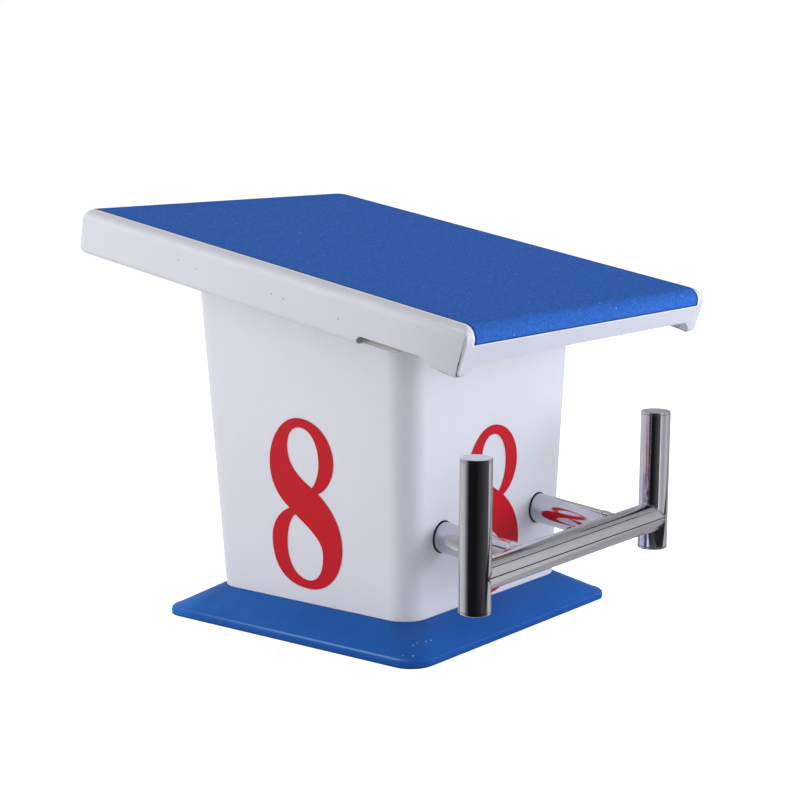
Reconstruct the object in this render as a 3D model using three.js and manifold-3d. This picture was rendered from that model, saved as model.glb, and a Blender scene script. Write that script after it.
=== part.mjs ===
// Swimming starting block: a sloping platform on a tapered pedestal, with a backstroke grip.
// Lengths are in millimetres and +Z is up. The pool lies towards -Y, and X runs along its edge.
// The origin is the centre of the plinth's underside, which lies on the pool deck.

import * as THREE from 'three';
import { mergeVertices } from 'three/addons/utils/BufferGeometryUtils.js';
import Module from 'manifold-3d';

const wasm = await Module();
wasm.setup();

const degree = Math.PI / 180;

// Gaps and cuts
const seatGap = 0.3; // between two pieces that touch
const cutOverrun = 6; // how far a cutter passes the face that it opens
const weldTolerance = 0.0001; // points closer than this are one point

// Plinth, the blue foot
const plinthMargin = 49; // how far it reaches beyond the pedestal's foot on each side
const plinthEndMargin = 50.5; // and at the front and the rear
const plinthCorner = 30;
const plinthEdgeHeight = 9.5;
const plinthEdgeRound = 4;
const plinthHeight = 36.7; // its flat top, which carries the pedestal
const plinthTopMargin = 2; // flat top outside the pedestal's foot
const plinthWall = 6;

// Pedestal, a tapered moulding with a floor, and the flange ring bonded round its head
const sideOverhang = 94.5; // platform beyond the pedestal's foot on each side
const frontOverhang = 163.5; // and at the front, measured level
const rearOverhang = 133.9;
const pedestalSetForward = 2.5; // its centre ahead of the plinth's centre
const pedestalDraft = 2.4 * degree; // each wall leans outwards going up
const pedestalCorner = 32;
const pedestalWall = 6;
const pedestalFloor = 10;
const flangeReach = 34;
const flangeThickness = 10;

// Platform, measured along its own slope
const platformWidth = 515;
const platformLength = 632;
const platformSlope = 10.5 * degree;
const platformFrontHeight = 415.3; // of the deck's plane at its front edge
const deckThickness = 7;
const skirtDepth = 57;
const skirtWall = 12;
const shoulderWidth = 15.8; // rounded white rim on each side of the blue surface
const shoulderDepth = 13;
const rearShoulderWidth = 12;
const noseRadius = 20;
const frontRake = 9.6 * degree; // the front face leans back from the deck's normal
const frontCorner = 3;
const rearCorner = 14;
const skirtEdgeRound = 7;
const innerRound = 10; // fillet between the skirts and the deck's underside
const lipDepth = 43; // lower edge of the front lip
const legWidth = 31; // front leg beside the lip's cut-out
const legFlare = 1.4; // the leg narrows by this much of its drop below the lip

// Hand notch in the lower edge of each side skirt
const notchHeight = 10.5;
const notchRear = 154.5; // from the front edge, along the slope
const notchFront = 36;
const notchRearRound = 7;
const notchFrontRun = 30; // length of its easy front curve

// Anti-slip surface, which wraps the nose
const surfaceThickness = 2;
const surfaceDrop = 20.8; // how far it comes down the nose
const surfaceRearCorner = 4;
const surfaceRearMargin = 6.5; // white rim behind it

// Laminated core board under the deck, and stiffener strips inside the side skirts
const coreThickness = 15;
const coreMargin = 12; // from the skirts' inner faces
const coreFront = 45;
const coreCorner = 12;
const stiffenerThickness = 10;
const stiffenerFront = 98;
const stiffenerRearMargin = 55;
const stiffenerTop = 30; // depth of its upper edge below the deck
const stiffenerRise = 0.8; // its lower edge above the skirt's lower edge
const stiffenerRound = 12;

// Grip, a weldment of round stainless tube
const tubeDiameter = 38;
const tubeWall = 2.5;
const gripReach = 286.5; // crossbar's axis in front of the origin
const gripHeight = 122.1;
const armInset = 61.35; // from the side of the pedestal's foot to an arm's axis
const armRise = 6.2 * degree; // the arms climb towards the pedestal
const armStub = 6; // arm beyond the backing plate
const uprightSpacing = 390.6;
const uprightLean = 1.1 * degree; // towards the pool
const uprightAbove = 139.4; // crossbar's axis to the upright's top
const uprightBelow = 41.6; // crossbar's axis to the upright's foot
const capThickness = 3;
const capChamfer = 1;
const capSpigot = 8;
const sealThickness = 0.7;
const sealProud = 2.2;

// Fittings that hold the grip, inside the pedestal's front wall
const padMargin = 14.3; // pad beyond the arms on each side
const padHeight = 96;
const padThickness = 18;
const plateMargin = 7.3;
const plateHeight = 84;
const plateThickness = 6;
const gripBoltMargin = 27.6; // from an arm's side to the nearest bolt's axis
const gripBoltEdge = 14; // from that axis to the plate's upper or lower edge

// Fasteners
const boltRadius = 4;
const boltHeadRadius = 7.5;
const boltHeadHeight = 5.3;
const boltClearance = 0.5;
const washerRadius = 10;
const washerThickness = 1.6;
const insertRadius = 7;
const insertEndGap = 1; // insert and bolt stop short of the core's top
const platformBoltRows = 3;
const platformBoltInset = 75; // from the flange's front or rear edge to the nearest row
const plinthBoltInset = 58.5; // from the outside of the pedestal's foot
const plinthBoltReach = 15; // bolt inside the plinth's core

// Lane number, the figure 8, on all four sides
const numberHeight = 218.5;
const numberTrim = 3; // the film is cut back this far round the arms' seals
const numberThickness = 0.5;
const numberSideLift = 19.5; // above the pedestal's foot
const numberFrontLift = 4.3;
const numberSideShift = 2; // towards the pool

// Facets
const tubeSides = 24;
const boltSides = 12;
const hexSides = 6;
const cornerSteps = 5;
const roundSteps = 5;
const numberCurveSteps = 6;

// Values that follow from those above
const pedestalWidth = platformWidth - 2 * sideOverhang; // at its foot
const pedestalLength = platformLength * Math.cos(platformSlope) - frontOverhang - rearOverhang;
const platformFrontReach = frontOverhang + pedestalLength / 2 + pedestalSetForward;
const plinthWidth = pedestalWidth + 2 * plinthMargin;
const plinthLength = pedestalLength + 2 * plinthEndMargin;
const pedestalBottom = plinthHeight + seatGap;
const coreTop = deckThickness + seatGap;
const coreBottom = coreTop + coreThickness;
const flangeTop = coreBottom + seatGap;
const flangeBottom = flangeTop + flangeThickness;
const tubeRadius = tubeDiameter / 2;
const armSpacing = pedestalWidth - 2 * armInset;
const padWidth = armSpacing + tubeDiameter + 2 * padMargin;
const plateWidth = armSpacing + tubeDiameter + 2 * plateMargin;
const sealRadius = tubeRadius + seatGap + sealThickness;
const surfaceHalfWidth = platformWidth / 2 - shoulderWidth;
const surfaceLength = platformLength - surfaceRearMargin;
const padFront = pedestalWall + seatGap;
const padBack = padFront + padThickness;
const plateFront = padBack + seatGap;
const plateBack = plateFront + plateThickness;
const washerBack = plateBack + seatGap + washerThickness;

// Solids from three.js geometry, merged, closed and facing outwards
function solidOf(geometry) {
  const bare = geometry.clone();
  bare.deleteAttribute('normal');
  bare.deleteAttribute('uv');
  const merged = mergeVertices(bare, weldTolerance);
  const points = merged.getAttribute('position');
  const index = merged.getIndex().array;
  const corners = [];
  for (let i = 0; i < index.length; i += 3) {
    const [a, b, c] = [index[i], index[i + 1], index[i + 2]];
    if (a !== b && b !== c && c !== a) {
      corners.push(a, b, c);
    }
  }
  if (signedVolume(points, corners) < 0) {
    corners.reverse();
  }
  return new wasm.Manifold(new wasm.Mesh({
    numProp: 3,
    vertProperties: new Float32Array(points.array),
    triVerts: new Uint32Array(corners),
  }));
}

function signedVolume(points, corners) {
  const [a, b, c] = [new THREE.Vector3(), new THREE.Vector3(), new THREE.Vector3()];
  let total = 0;
  for (let i = 0; i < corners.length; i += 3) {
    a.fromBufferAttribute(points, corners[i]);
    b.fromBufferAttribute(points, corners[i + 1]);
    c.fromBufferAttribute(points, corners[i + 2]);
    total += a.dot(b.cross(c));
  }
  return total / 6;
}

function geometryOf(solid) {
  const mesh = solid.getMesh();
  const geometry = new THREE.BufferGeometry();
  geometry.setAttribute('position', new THREE.BufferAttribute(new Float32Array(mesh.vertProperties), 3));
  geometry.setIndex(new THREE.BufferAttribute(new Uint32Array(mesh.triVerts), 1));
  geometry.computeVertexNormals();
  return geometry;
}

function cut(solid, cutters) {
  return cutters.reduce((rest, cutter) => rest.subtract(cutter), solid);
}

// A closed skin through rings of points that match one to one, with a flat cap at each end
function loft(rings) {
  const count = rings[0].length;
  const positions = rings.flat().flatMap((point) => [point.x, point.y, point.z]);
  const index = [];
  for (let r = 0; r + 1 < rings.length; r += 1) {
    for (let i = 0; i < count; i += 1) {
      const next = (i + 1) % count;
      const [a, b] = [r * count + i, r * count + next];
      const [c, d] = [(r + 1) * count + next, (r + 1) * count + i];
      index.push(a, b, c, a, c, d);
    }
  }
  const last = (rings.length - 1) * count;
  for (let i = 1; i + 1 < count; i += 1) {
    index.push(0, i + 1, i, last, last + i, last + i + 1);
  }
  const geometry = new THREE.BufferGeometry();
  geometry.setAttribute('position', new THREE.Float32BufferAttribute(positions, 3));
  geometry.setIndex(index);
  return geometry;
}

// Points round a rectangle with rounded corners; near is the pool side
function roundedOutline(left, right, near, far, nearCorner, farCorner) {
  const corners = [
    [right - nearCorner, near + nearCorner, nearCorner, -90],
    [right - farCorner, far - farCorner, farCorner, 0],
    [left + farCorner, far - farCorner, farCorner, 90],
    [left + nearCorner, near + nearCorner, nearCorner, 180],
  ];
  return corners.flatMap(([x, y, radius, start]) => {
    const arc = [];
    for (let i = 0; i <= cornerSteps; i += 1) {
      const angle = (start + 90 * i / cornerSteps) * degree;
      arc.push(new THREE.Vector2(x + radius * Math.cos(angle), y + radius * Math.sin(angle)));
    }
    return arc;
  });
}

function ringAt(outline, z) {
  return outline.map((point) => new THREE.Vector3(point.x, point.y, z));
}

function block(x0, x1, y0, y1, z0, z1) {
  const geometry = new THREE.BoxGeometry(x1 - x0, y1 - y0, z1 - z0);
  return geometry.translate((x0 + x1) / 2, (y0 + y1) / 2, (z0 + z1) / 2);
}

function rodAlongX(radius, x0, x1) {
  const geometry = new THREE.CylinderGeometry(radius, radius, x1 - x0, tubeSides);
  return geometry.rotateZ(Math.PI / 2).translate((x0 + x1) / 2, 0, 0);
}

function rodAlongY(radius, y0, y1, sides = tubeSides) {
  const geometry = new THREE.CylinderGeometry(radius, radius, y1 - y0, sides);
  return geometry.translate(0, (y0 + y1) / 2, 0);
}

function rodAlongZ(radius, z0, z1, sides = tubeSides) {
  const geometry = new THREE.CylinderGeometry(radius, radius, z1 - z0, sides);
  return geometry.rotateX(Math.PI / 2).translate(0, 0, (z0 + z1) / 2);
}

// A turned piece about Z, from points of radius and height that run round its section
function turned(section, sides = tubeSides) {
  const profile = section.map(([radius, height]) => new THREE.Vector2(radius, height));
  return new THREE.LatheGeometry(profile, sides).rotateX(Math.PI / 2);
}

function pipe(outer, inner, z0, z1, sides = tubeSides) {
  return turned([[inner, z0], [outer, z0], [outer, z1], [inner, z1], [inner, z0]], sides);
}

// How far a quarter round has drawn in at a depth below its start, from its width down to zero
function roundInset(width, radius, depth) {
  const rest = Math.min(Math.max(1 - depth / radius, 0), 1);
  return width * (1 - Math.sqrt(1 - rest * rest));
}

// Frames: each group carries the pieces that are drawn in its own axes
const startingBlock = new THREE.Group();

function frameIn(parent, x, y, z, turnX = 0, turnZ = 0) {
  const group = new THREE.Group();
  group.position.set(x, y, z);
  group.rotation.set(turnX, 0, turnZ);
  parent.add(group);
  group.updateMatrixWorld(true);
  return group;
}

function carried(geometry, from, to) {
  const matrix = to.matrixWorld.clone().invert().multiply(from.matrixWorld);
  return geometry.clone().applyMatrix4(matrix);
}

function piece(name, solid, material, group) {
  const mesh = new THREE.Mesh(geometryOf(solid), material);
  mesh.name = name;
  group.add(mesh);
  return mesh;
}

function finish(color, roughness, metalness) {
  return new THREE.MeshStandardMaterial({ color, roughness, metalness });
}

const whiteGelcoat = finish(0xdcdbe6, 0.3, 0);
const blueGelcoat = finish(0x1559b0, 0.35, 0);
const blueGrit = finish(0x1c55b4, 0.85, 0);
const rawLaminate = finish(0x9a9a94, 0.8, 0);
const plyCore = finish(0xb08d5e, 0.8, 0);
const polishedSteel = finish(0xc8c8c8, 0.12, 1);
const fastenerSteel = finish(0xb4b6b8, 0.4, 1);
const blackRubber = finish(0x1c1c1e, 0.8, 0);
const redVinyl = finish(0xb71f29, 0.4, 0);

const deckFrame = frameIn(startingBlock, 0, -platformFrontReach, platformFrontHeight, platformSlope);
const gripFrame = frameIn(startingBlock, 0, -gripReach, gripHeight);
const armFrame = frameIn(gripFrame, 0, 0, 0, armRise);

// The arms' axes meet the front wall's outer face at this distance from the crossbar's axis
const footFront = -pedestalSetForward - pedestalLength / 2;
const wallRun = footFront + gripReach - Math.tan(pedestalDraft) * (gripHeight - pedestalBottom);
const armToWall = wallRun / (Math.cos(armRise) + Math.tan(pedestalDraft) * Math.sin(armRise));
const wallFrame = frameIn(
  startingBlock,
  0,
  armToWall * Math.cos(armRise) - gripReach,
  armToWall * Math.sin(armRise) + gripHeight,
  pedestalDraft,
);

// Plinth: a hipped skin over a core that fills it
function plinthForm(inset, lowest, highest) {
  const round = Math.max(plinthEdgeRound - inset, 0);
  const half = { x: plinthWidth / 2 - inset, y: plinthLength / 2 - inset };
  const edgeTop = plinthEdgeHeight - inset;
  const outlineAt = (draw) => roundedOutline(
    draw - half.x, half.x - draw, draw - half.y, half.y - draw,
    plinthCorner - inset - draw, plinthCorner - inset - draw,
  );
  const rings = [ringAt(outlineAt(0), lowest), ringAt(outlineAt(0), edgeTop - round)];
  for (let i = 1; i <= roundSteps && round > 0; i += 1) {
    const angle = 90 * degree * i / roundSteps;
    rings.push(ringAt(outlineAt(round * (1 - Math.cos(angle))), edgeTop - round * (1 - Math.sin(angle))));
  }
  const top = roundedOutline(
    -pedestalWidth / 2 - plinthTopMargin, pedestalWidth / 2 + plinthTopMargin,
    footFront - plinthTopMargin, footFront + pedestalLength + plinthTopMargin,
    pedestalCorner + plinthTopMargin, pedestalCorner + plinthTopMargin,
  );
  rings.push(ringAt(top, highest));
  return loft(rings);
}

function spotsOn(spanX, spanY) {
  return [[-1, -1], [1, -1], [1, 1], [-1, 1]].map(([x, y]) => [x * spanX / 2, y * spanY / 2]);
}

const plinthBoltSpots = spotsOn(
  pedestalWidth - 2 * plinthBoltInset,
  pedestalLength - 2 * plinthBoltInset,
).map(([x, y]) => [x, y - pedestalSetForward]);

function plinthBoltHoles(radius, z0, z1) {
  return plinthBoltSpots.map(([x, y]) => solidOf(rodAlongZ(radius, z0, z1, boltSides).translate(x, y, 0)));
}

function makePlinth() {
  const hollowTop = plinthHeight - plinthWall;
  const skin = cut(solidOf(plinthForm(0, 0, plinthHeight)), [
    solidOf(plinthForm(plinthWall, -cutOverrun, hollowTop)),
    ...plinthBoltHoles(boltRadius + boltClearance, hollowTop - cutOverrun, plinthHeight + cutOverrun),
  ]);
  piece('plinth_skin', skin, blueGelcoat, startingBlock);
  const coreHigh = hollowTop - seatGap;
  const core = cut(solidOf(plinthForm(plinthWall + seatGap, 0, coreHigh)), [
    ...plinthBoltHoles(boltRadius + seatGap, coreHigh - plinthBoltReach, coreHigh + cutOverrun),
  ]);
  piece('plinth_core', core, plyCore, startingBlock);
}

// Pedestal: sections at any height, drawn out or in by an offset
function pedestalOutline(z, offset) {
  const grow = offset + (z - pedestalBottom) * Math.tan(pedestalDraft);
  const corner = Math.max(pedestalCorner + offset, pedestalWall);
  return roundedOutline(
    -pedestalWidth / 2 - grow, pedestalWidth / 2 + grow,
    footFront - grow, footFront + pedestalLength + grow,
    corner, corner,
  );
}

// The pedestal's section where it meets a plane at a depth below the deck, along its own walls
function pedestalRingAtDepth(depth, offset) {
  const low = ringAt(pedestalOutline(pedestalBottom, offset), pedestalBottom);
  const high = ringAt(pedestalOutline(platformFrontHeight, offset), platformFrontHeight);
  const normal = new THREE.Vector3(0, -Math.sin(platformSlope), Math.cos(platformSlope));
  const origin = deckFrame.position.clone().addScaledVector(normal, -depth);
  return low.map((foot, i) => {
    const along = high[i].clone().sub(foot);
    const share = origin.clone().sub(foot).dot(normal) / along.dot(normal);
    return foot.clone().addScaledVector(along, share);
  });
}

const halfDraftSpan = Math.tan(pedestalDraft) * (platformFrontHeight - pedestalBottom);
const platformBoltX = pedestalWidth / 2 + halfDraftSpan + flangeReach / 2;
const flangeMiddle = (footFront + pedestalLength / 2 + platformFrontReach) / Math.cos(platformSlope);
const flangeHalfLength = (pedestalLength / 2 + halfDraftSpan + flangeReach) / Math.cos(platformSlope);

function platformBoltSpots() {
  const spots = [];
  for (let row = 0; row < platformBoltRows; row += 1) {
    const place = platformBoltRows > 1 ? row / (platformBoltRows - 1) * 2 - 1 : 0;
    const along = flangeMiddle + place * (flangeHalfLength - platformBoltInset);
    spots.push([-platformBoltX, along], [platformBoltX, along]);
  }
  return spots;
}

function deckBoltHoles(radius, top, bottom, to) {
  return platformBoltSpots().map(([x, along]) => {
    const rod = rodAlongZ(radius, -bottom, -top, boltSides).translate(x, along, 0);
    return solidOf(carried(rod, deckFrame, to));
  });
}

function armRods(radius, y0, y1, to) {
  return [-1, 1].map((side) => {
    const rod = rodAlongY(radius, y0, y1).translate(side * armSpacing / 2, 0, 0);
    return solidOf(carried(rod, armFrame, to));
  });
}

// The form within the pedestal's walls, from a height up to a depth below the deck
function pedestalForm(bottom, depth, offset) {
  return loft([ringAt(pedestalOutline(bottom, offset), bottom), pedestalRingAtDepth(depth, offset)]);
}

function makePedestal() {
  const floorTop = pedestalBottom + pedestalFloor;
  const sealHole = sealRadius + seatGap;
  const boltHole = boltRadius + boltClearance;
  const shell = cut(solidOf(pedestalForm(pedestalBottom, flangeTop, 0)), [
    solidOf(pedestalForm(floorTop, flangeTop - cutOverrun, -pedestalWall)),
    ...armRods(sealHole, armToWall - padBack, armToWall + padBack, startingBlock),
    ...plinthBoltHoles(boltHole, pedestalBottom - cutOverrun, floorTop + cutOverrun),
  ]);
  piece('pedestal_shell', shell, whiteGelcoat, startingBlock);
  const ring = solidOf(loft([
    pedestalRingAtDepth(flangeBottom, flangeReach),
    pedestalRingAtDepth(flangeTop, flangeReach),
  ]));
  piece('pedestal_flange', cut(ring, [
    solidOf(pedestalForm(pedestalBottom, flangeTop - cutOverrun, seatGap)),
    ...deckBoltHoles(boltHole, flangeTop - cutOverrun, flangeBottom + cutOverrun, startingBlock),
  ]), rawLaminate, startingBlock);
}

// Platform: the tray's outer form, or the same form with its deck and nose drawn in
function trayForm(drawIn) {
  const nose = noseRadius - drawIn;
  const edgeStart = skirtDepth - skirtEdgeRound;
  const depths = [];
  for (let i = 0; i <= roundSteps; i += 1) {
    depths.push(drawIn + nose * (1 - Math.cos(90 * degree * i / roundSteps)));
  }
  for (let i = 0; i <= roundSteps; i += 1) {
    depths.push(edgeStart + skirtEdgeRound * Math.sin(90 * degree * i / roundSteps));
  }
  return loft(depths.map((depth) => {
    const below = depth - drawIn;
    const edge = roundInset(skirtEdgeRound, skirtEdgeRound, skirtDepth - depth);
    const side = platformWidth / 2 - edge - roundInset(shoulderWidth, shoulderDepth, below);
    const faceBack = drawIn / Math.cos(frontRake) + depth * Math.tan(frontRake);
    const front = faceBack + roundInset(nose, nose, below) + edge;
    const rear = platformLength - edge - roundInset(rearShoulderWidth, shoulderDepth, below);
    return ringAt(roundedOutline(-side, side, front, rear, frontCorner, rearCorner), -depth);
  }));
}

function trayHollow() {
  const depths = [];
  for (let i = 0; i <= roundSteps; i += 1) {
    depths.push(deckThickness + innerRound * (1 - Math.cos(90 * degree * i / roundSteps)));
  }
  depths.push(skirtDepth + cutOverrun);
  return loft(depths.map((depth) => {
    const fillet = roundInset(innerRound, innerRound, depth - deckThickness);
    const side = platformWidth / 2 - skirtWall - fillet;
    const front = depth * Math.tan(frontRake) + skirtWall + fillet;
    const rear = platformLength - skirtWall - fillet;
    return ringAt(roundedOutline(-side, side, front, rear, innerRound, innerRound), -depth);
  }));
}

function surfacePrism(margin) {
  const half = surfaceHalfWidth + margin;
  const outline = roundedOutline(
    -half, half, -cutOverrun, surfaceLength + margin,
    surfaceThickness, surfaceRearCorner + margin,
  );
  return solidOf(loft([ringAt(outline, -surfaceDrop - margin), ringAt(outline, cutOverrun)]));
}

// The gap between the two front legs, below the lip
function lipCutter() {
  const half = platformWidth / 2 - legWidth;
  const drop = skirtDepth - lipDepth + cutOverrun;
  const shape = new THREE.Shape();
  shape.moveTo(-half, -lipDepth);
  shape.lineTo(-half - legFlare * drop, -lipDepth - drop);
  shape.lineTo(half + legFlare * drop, -lipDepth - drop);
  shape.lineTo(half, -lipDepth);
  const wallFar = skirtDepth * Math.tan(frontRake) + skirtWall + cutOverrun;
  const geometry = new THREE.ExtrudeGeometry(shape, { depth: wallFar + cutOverrun, bevelEnabled: false });
  return solidOf(geometry.rotateX(Math.PI / 2).translate(0, wallFar, 0));
}

// The notch's section lies along the slope, and it is cut sideways through one skirt
function notchCutter(side) {
  const ceiling = notchHeight - skirtDepth;
  const floor = -skirtDepth - cutOverrun;
  const shape = new THREE.Shape();
  shape.moveTo(notchRear, floor);
  shape.lineTo(notchRear, ceiling - notchRearRound);
  shape.quadraticCurveTo(notchRear, ceiling, notchRear - notchRearRound, ceiling);
  shape.lineTo(notchFront + notchFrontRun, ceiling);
  const middle = notchFront + notchFrontRun / 2;
  shape.bezierCurveTo(middle, ceiling, middle, -skirtDepth, notchFront, floor);
  const depth = skirtWall + 2 * cutOverrun;
  const geometry = new THREE.ExtrudeGeometry(shape, {
    depth,
    bevelEnabled: false,
    curveSegments: roundSteps,
  });
  geometry.rotateX(Math.PI / 2).rotateZ(Math.PI / 2);
  const near = platformWidth / 2 - skirtWall - cutOverrun;
  return solidOf(geometry.translate(side > 0 ? near : -near - depth, 0, 0));
}

function makePlatform() {
  const outer = solidOf(trayForm(0));
  const recess = surfacePrism(seatGap).subtract(solidOf(trayForm(surfaceThickness + seatGap)));
  const shell = cut(outer, [solidOf(trayHollow()), recess, lipCutter(), notchCutter(-1), notchCutter(1)]);
  piece('platform_shell', shell, whiteGelcoat, deckFrame);
  const surface = outer.intersect(surfacePrism(0)).subtract(solidOf(trayForm(surfaceThickness)));
  piece('antislip_surface', surface, blueGrit, deckFrame);
}

function makeDeckCore() {
  const half = platformWidth / 2 - skirtWall - coreMargin;
  const rear = platformLength - skirtWall - coreMargin;
  const outline = roundedOutline(-half, half, coreFront, rear, coreCorner, coreCorner);
  const board = solidOf(loft([ringAt(outline, -coreBottom), ringAt(outline, -coreTop)]));
  const insertHole = insertRadius + seatGap;
  const holes = deckBoltHoles(insertHole, coreTop + insertEndGap, coreBottom + cutOverrun, deckFrame);
  piece('deck_core', cut(board, holes), plyCore, deckFrame);
}

function makeStiffeners() {
  const outer = platformWidth / 2 - skirtWall - seatGap;
  const rear = platformLength - stiffenerRearMargin;
  const bottom = skirtDepth - stiffenerRise;
  const shape = new THREE.Shape();
  shape.moveTo(stiffenerFront, -stiffenerTop);
  shape.lineTo(stiffenerFront, stiffenerRound - bottom);
  shape.quadraticCurveTo(stiffenerFront, -bottom, stiffenerFront + stiffenerRound, -bottom);
  shape.lineTo(rear, -bottom);
  shape.lineTo(rear, -stiffenerTop);
  for (const [name, side] of [['left', -1], ['right', 1]]) {
    const geometry = new THREE.ExtrudeGeometry(shape, {
      depth: stiffenerThickness,
      bevelEnabled: false,
      curveSegments: roundSteps,
    });
    geometry.rotateX(Math.PI / 2).rotateZ(Math.PI / 2);
    geometry.translate(side > 0 ? outer - stiffenerThickness : -outer, 0, 0);
    piece(`skirt_stiffener_${name}`, solidOf(geometry), rawLaminate, deckFrame);
  }
}

// Fasteners are drawn along Z: the head lies above zero and the shank below it
function hexBolt(length) {
  const head = solidOf(rodAlongZ(boltHeadRadius, 0, boltHeadHeight, hexSides));
  return head.add(solidOf(rodAlongZ(boltRadius, -length, boltHeadHeight / 2, boltSides)));
}

function washer() {
  return solidOf(pipe(washerRadius, boltRadius + boltClearance, 0, washerThickness, boltSides));
}

function makePlatformFasteners() {
  const insertTop = coreTop + insertEndGap + seatGap;
  const washerTop = flangeBottom + seatGap;
  const headTop = washerTop + washerThickness + seatGap;
  platformBoltSpots().forEach(([x, along], i) => {
    const washerSeat = frameIn(deckFrame, x, along, -washerTop, Math.PI);
    piece(`platform_washer_${i + 1}`, washer(), fastenerSteel, washerSeat);
    const headSeat = frameIn(deckFrame, x, along, -headTop, Math.PI);
    piece(`platform_bolt_${i + 1}`, hexBolt(headTop - insertTop), fastenerSteel, headSeat);
    const sleeve = pipe(insertRadius, boltRadius + seatGap, -coreBottom, -insertTop, boltSides);
    piece(`platform_insert_${i + 1}`, solidOf(sleeve), fastenerSteel, frameIn(deckFrame, x, along, 0));
  });
}

function makePlinthFasteners() {
  plinthBoltSpots.forEach(([x, y], i) => {
    const floor = frameIn(startingBlock, x, y, pedestalBottom + pedestalFloor + seatGap);
    piece(`plinth_washer_${i + 1}`, washer(), fastenerSteel, floor);
    const seat = frameIn(floor, 0, 0, washerThickness + seatGap);
    const through = washerThickness + pedestalFloor + plinthWall + 4 * seatGap;
    piece(`plinth_bolt_${i + 1}`, hexBolt(through + plinthBoltReach - seatGap), fastenerSteel, seat);
  });
}

// Grip tubes, each cut to the round of the tube that it meets
function makeGrip() {
  const bore = tubeRadius - tubeWall;
  const uprightFrame = frameIn(gripFrame, 0, 0, 0, uprightLean);
  const bar = pipe(tubeRadius, bore, -uprightSpacing / 2, uprightSpacing / 2).rotateY(Math.PI / 2);
  const uprightRods = [-1, 1].map((side) => {
    const rod = rodAlongZ(tubeRadius + seatGap, -uprightSpacing, uprightSpacing);
    return solidOf(carried(rod.translate(side * uprightSpacing / 2, 0, 0), uprightFrame, gripFrame));
  });
  piece('grip_crossbar', cut(solidOf(bar), uprightRods), polishedSteel, gripFrame);
  const crossbarRod = rodAlongX(tubeRadius + seatGap, -uprightSpacing, uprightSpacing);
  const armEnd = armToWall + plateBack / Math.cos(armRise - pedestalDraft) + armStub;
  const sealSlab = solidOf(carried(
    block(-platformWidth, platformWidth, -sealProud, pedestalWall, -padHeight, padHeight),
    wallFrame,
    armFrame,
  ));
  for (const [name, side] of [['left', -1], ['right', 1]]) {
    const x = side * armSpacing / 2;
    const tube = pipe(tubeRadius, bore, 0, armEnd).rotateX(-Math.PI / 2).translate(x, 0, 0);
    const arm = solidOf(tube).subtract(solidOf(carried(crossbarRod, gripFrame, armFrame)));
    piece(`grip_arm_${name}`, arm, polishedSteel, armFrame);
    const sleeve = pipe(sealRadius, tubeRadius + seatGap, armToWall - padBack, armToWall + padBack);
    const ring = solidOf(sleeve.rotateX(-Math.PI / 2).translate(x, 0, 0)).intersect(sealSlab);
    piece(`arm_seal_${name}`, ring, blackRubber, armFrame);
    makeUpright(name, frameIn(uprightFrame, side * uprightSpacing / 2, 0, 0), bore);
  }
}

function makeUpright(name, frame, bore) {
  const top = uprightAbove - capThickness - seatGap;
  const foot = capThickness + seatGap - uprightBelow;
  piece(`grip_upright_${name}`, solidOf(pipe(tubeRadius, bore, foot, top)), polishedSteel, frame);
  const plug = bore - seatGap;
  const cap = turned([
    [0, -capSpigot], [plug, -capSpigot], [plug, 0], [tubeRadius, 0],
    [tubeRadius, capThickness - capChamfer], [tubeRadius - capChamfer, capThickness], [0, capThickness],
  ]);
  const above = frameIn(frame, 0, 0, top + seatGap);
  const below = frameIn(frame, 0, 0, foot - seatGap, Math.PI);
  piece(`upright_cap_top_${name}`, solidOf(cap), polishedSteel, above);
  piece(`upright_cap_foot_${name}`, solidOf(cap), polishedSteel, below);
}

// The pad is shaped by the inside of the pedestal, and the plate and its bolts lie flat on it
function makeGripFittings() {
  const spots = spotsOn(
    armSpacing - tubeDiameter - 2 * gripBoltMargin,
    plateHeight - 2 * gripBoltEdge,
  );
  const boltHoles = (radius, y0, y1) => spots.map(([x, z]) => (
    solidOf(rodAlongY(radius, y0, y1, boltSides).translate(x, 0, z))
  ));
  const armHoles = armRods(tubeRadius + seatGap, 0, 2 * (armToWall + plateBack), wallFrame);
  const inside = pedestalForm(pedestalBottom, flangeTop, -pedestalWall - seatGap);
  const slab = block(-padWidth / 2, padWidth / 2, 0, padBack, -padHeight / 2, padHeight / 2);
  const pad = solidOf(slab).intersect(solidOf(carried(inside, startingBlock, wallFrame)));
  piece('grip_pad', cut(pad, [
    ...armHoles,
    ...boltHoles(boltRadius + seatGap, padFront - cutOverrun, padBack + cutOverrun),
  ]), plyCore, wallFrame);
  const plate = block(
    -plateWidth / 2, plateWidth / 2, plateFront, plateBack, -plateHeight / 2, plateHeight / 2,
  );
  piece('grip_backing_plate', cut(solidOf(plate), [
    ...armHoles,
    ...boltHoles(boltRadius + boltClearance, plateFront - cutOverrun, plateBack + cutOverrun),
  ]), fastenerSteel, wallFrame);
  spots.forEach(([x, z], i) => {
    const back = frameIn(wallFrame, x, plateBack + seatGap, z, -Math.PI / 2);
    piece(`grip_washer_${i + 1}`, washer(), fastenerSteel, back);
    const seat = frameIn(wallFrame, x, washerBack + seatGap, z, -Math.PI / 2);
    piece(`grip_bolt_${i + 1}`, hexBolt(washerBack - padFront - 2 * seatGap), fastenerSteel, seat);
  });
}

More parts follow.
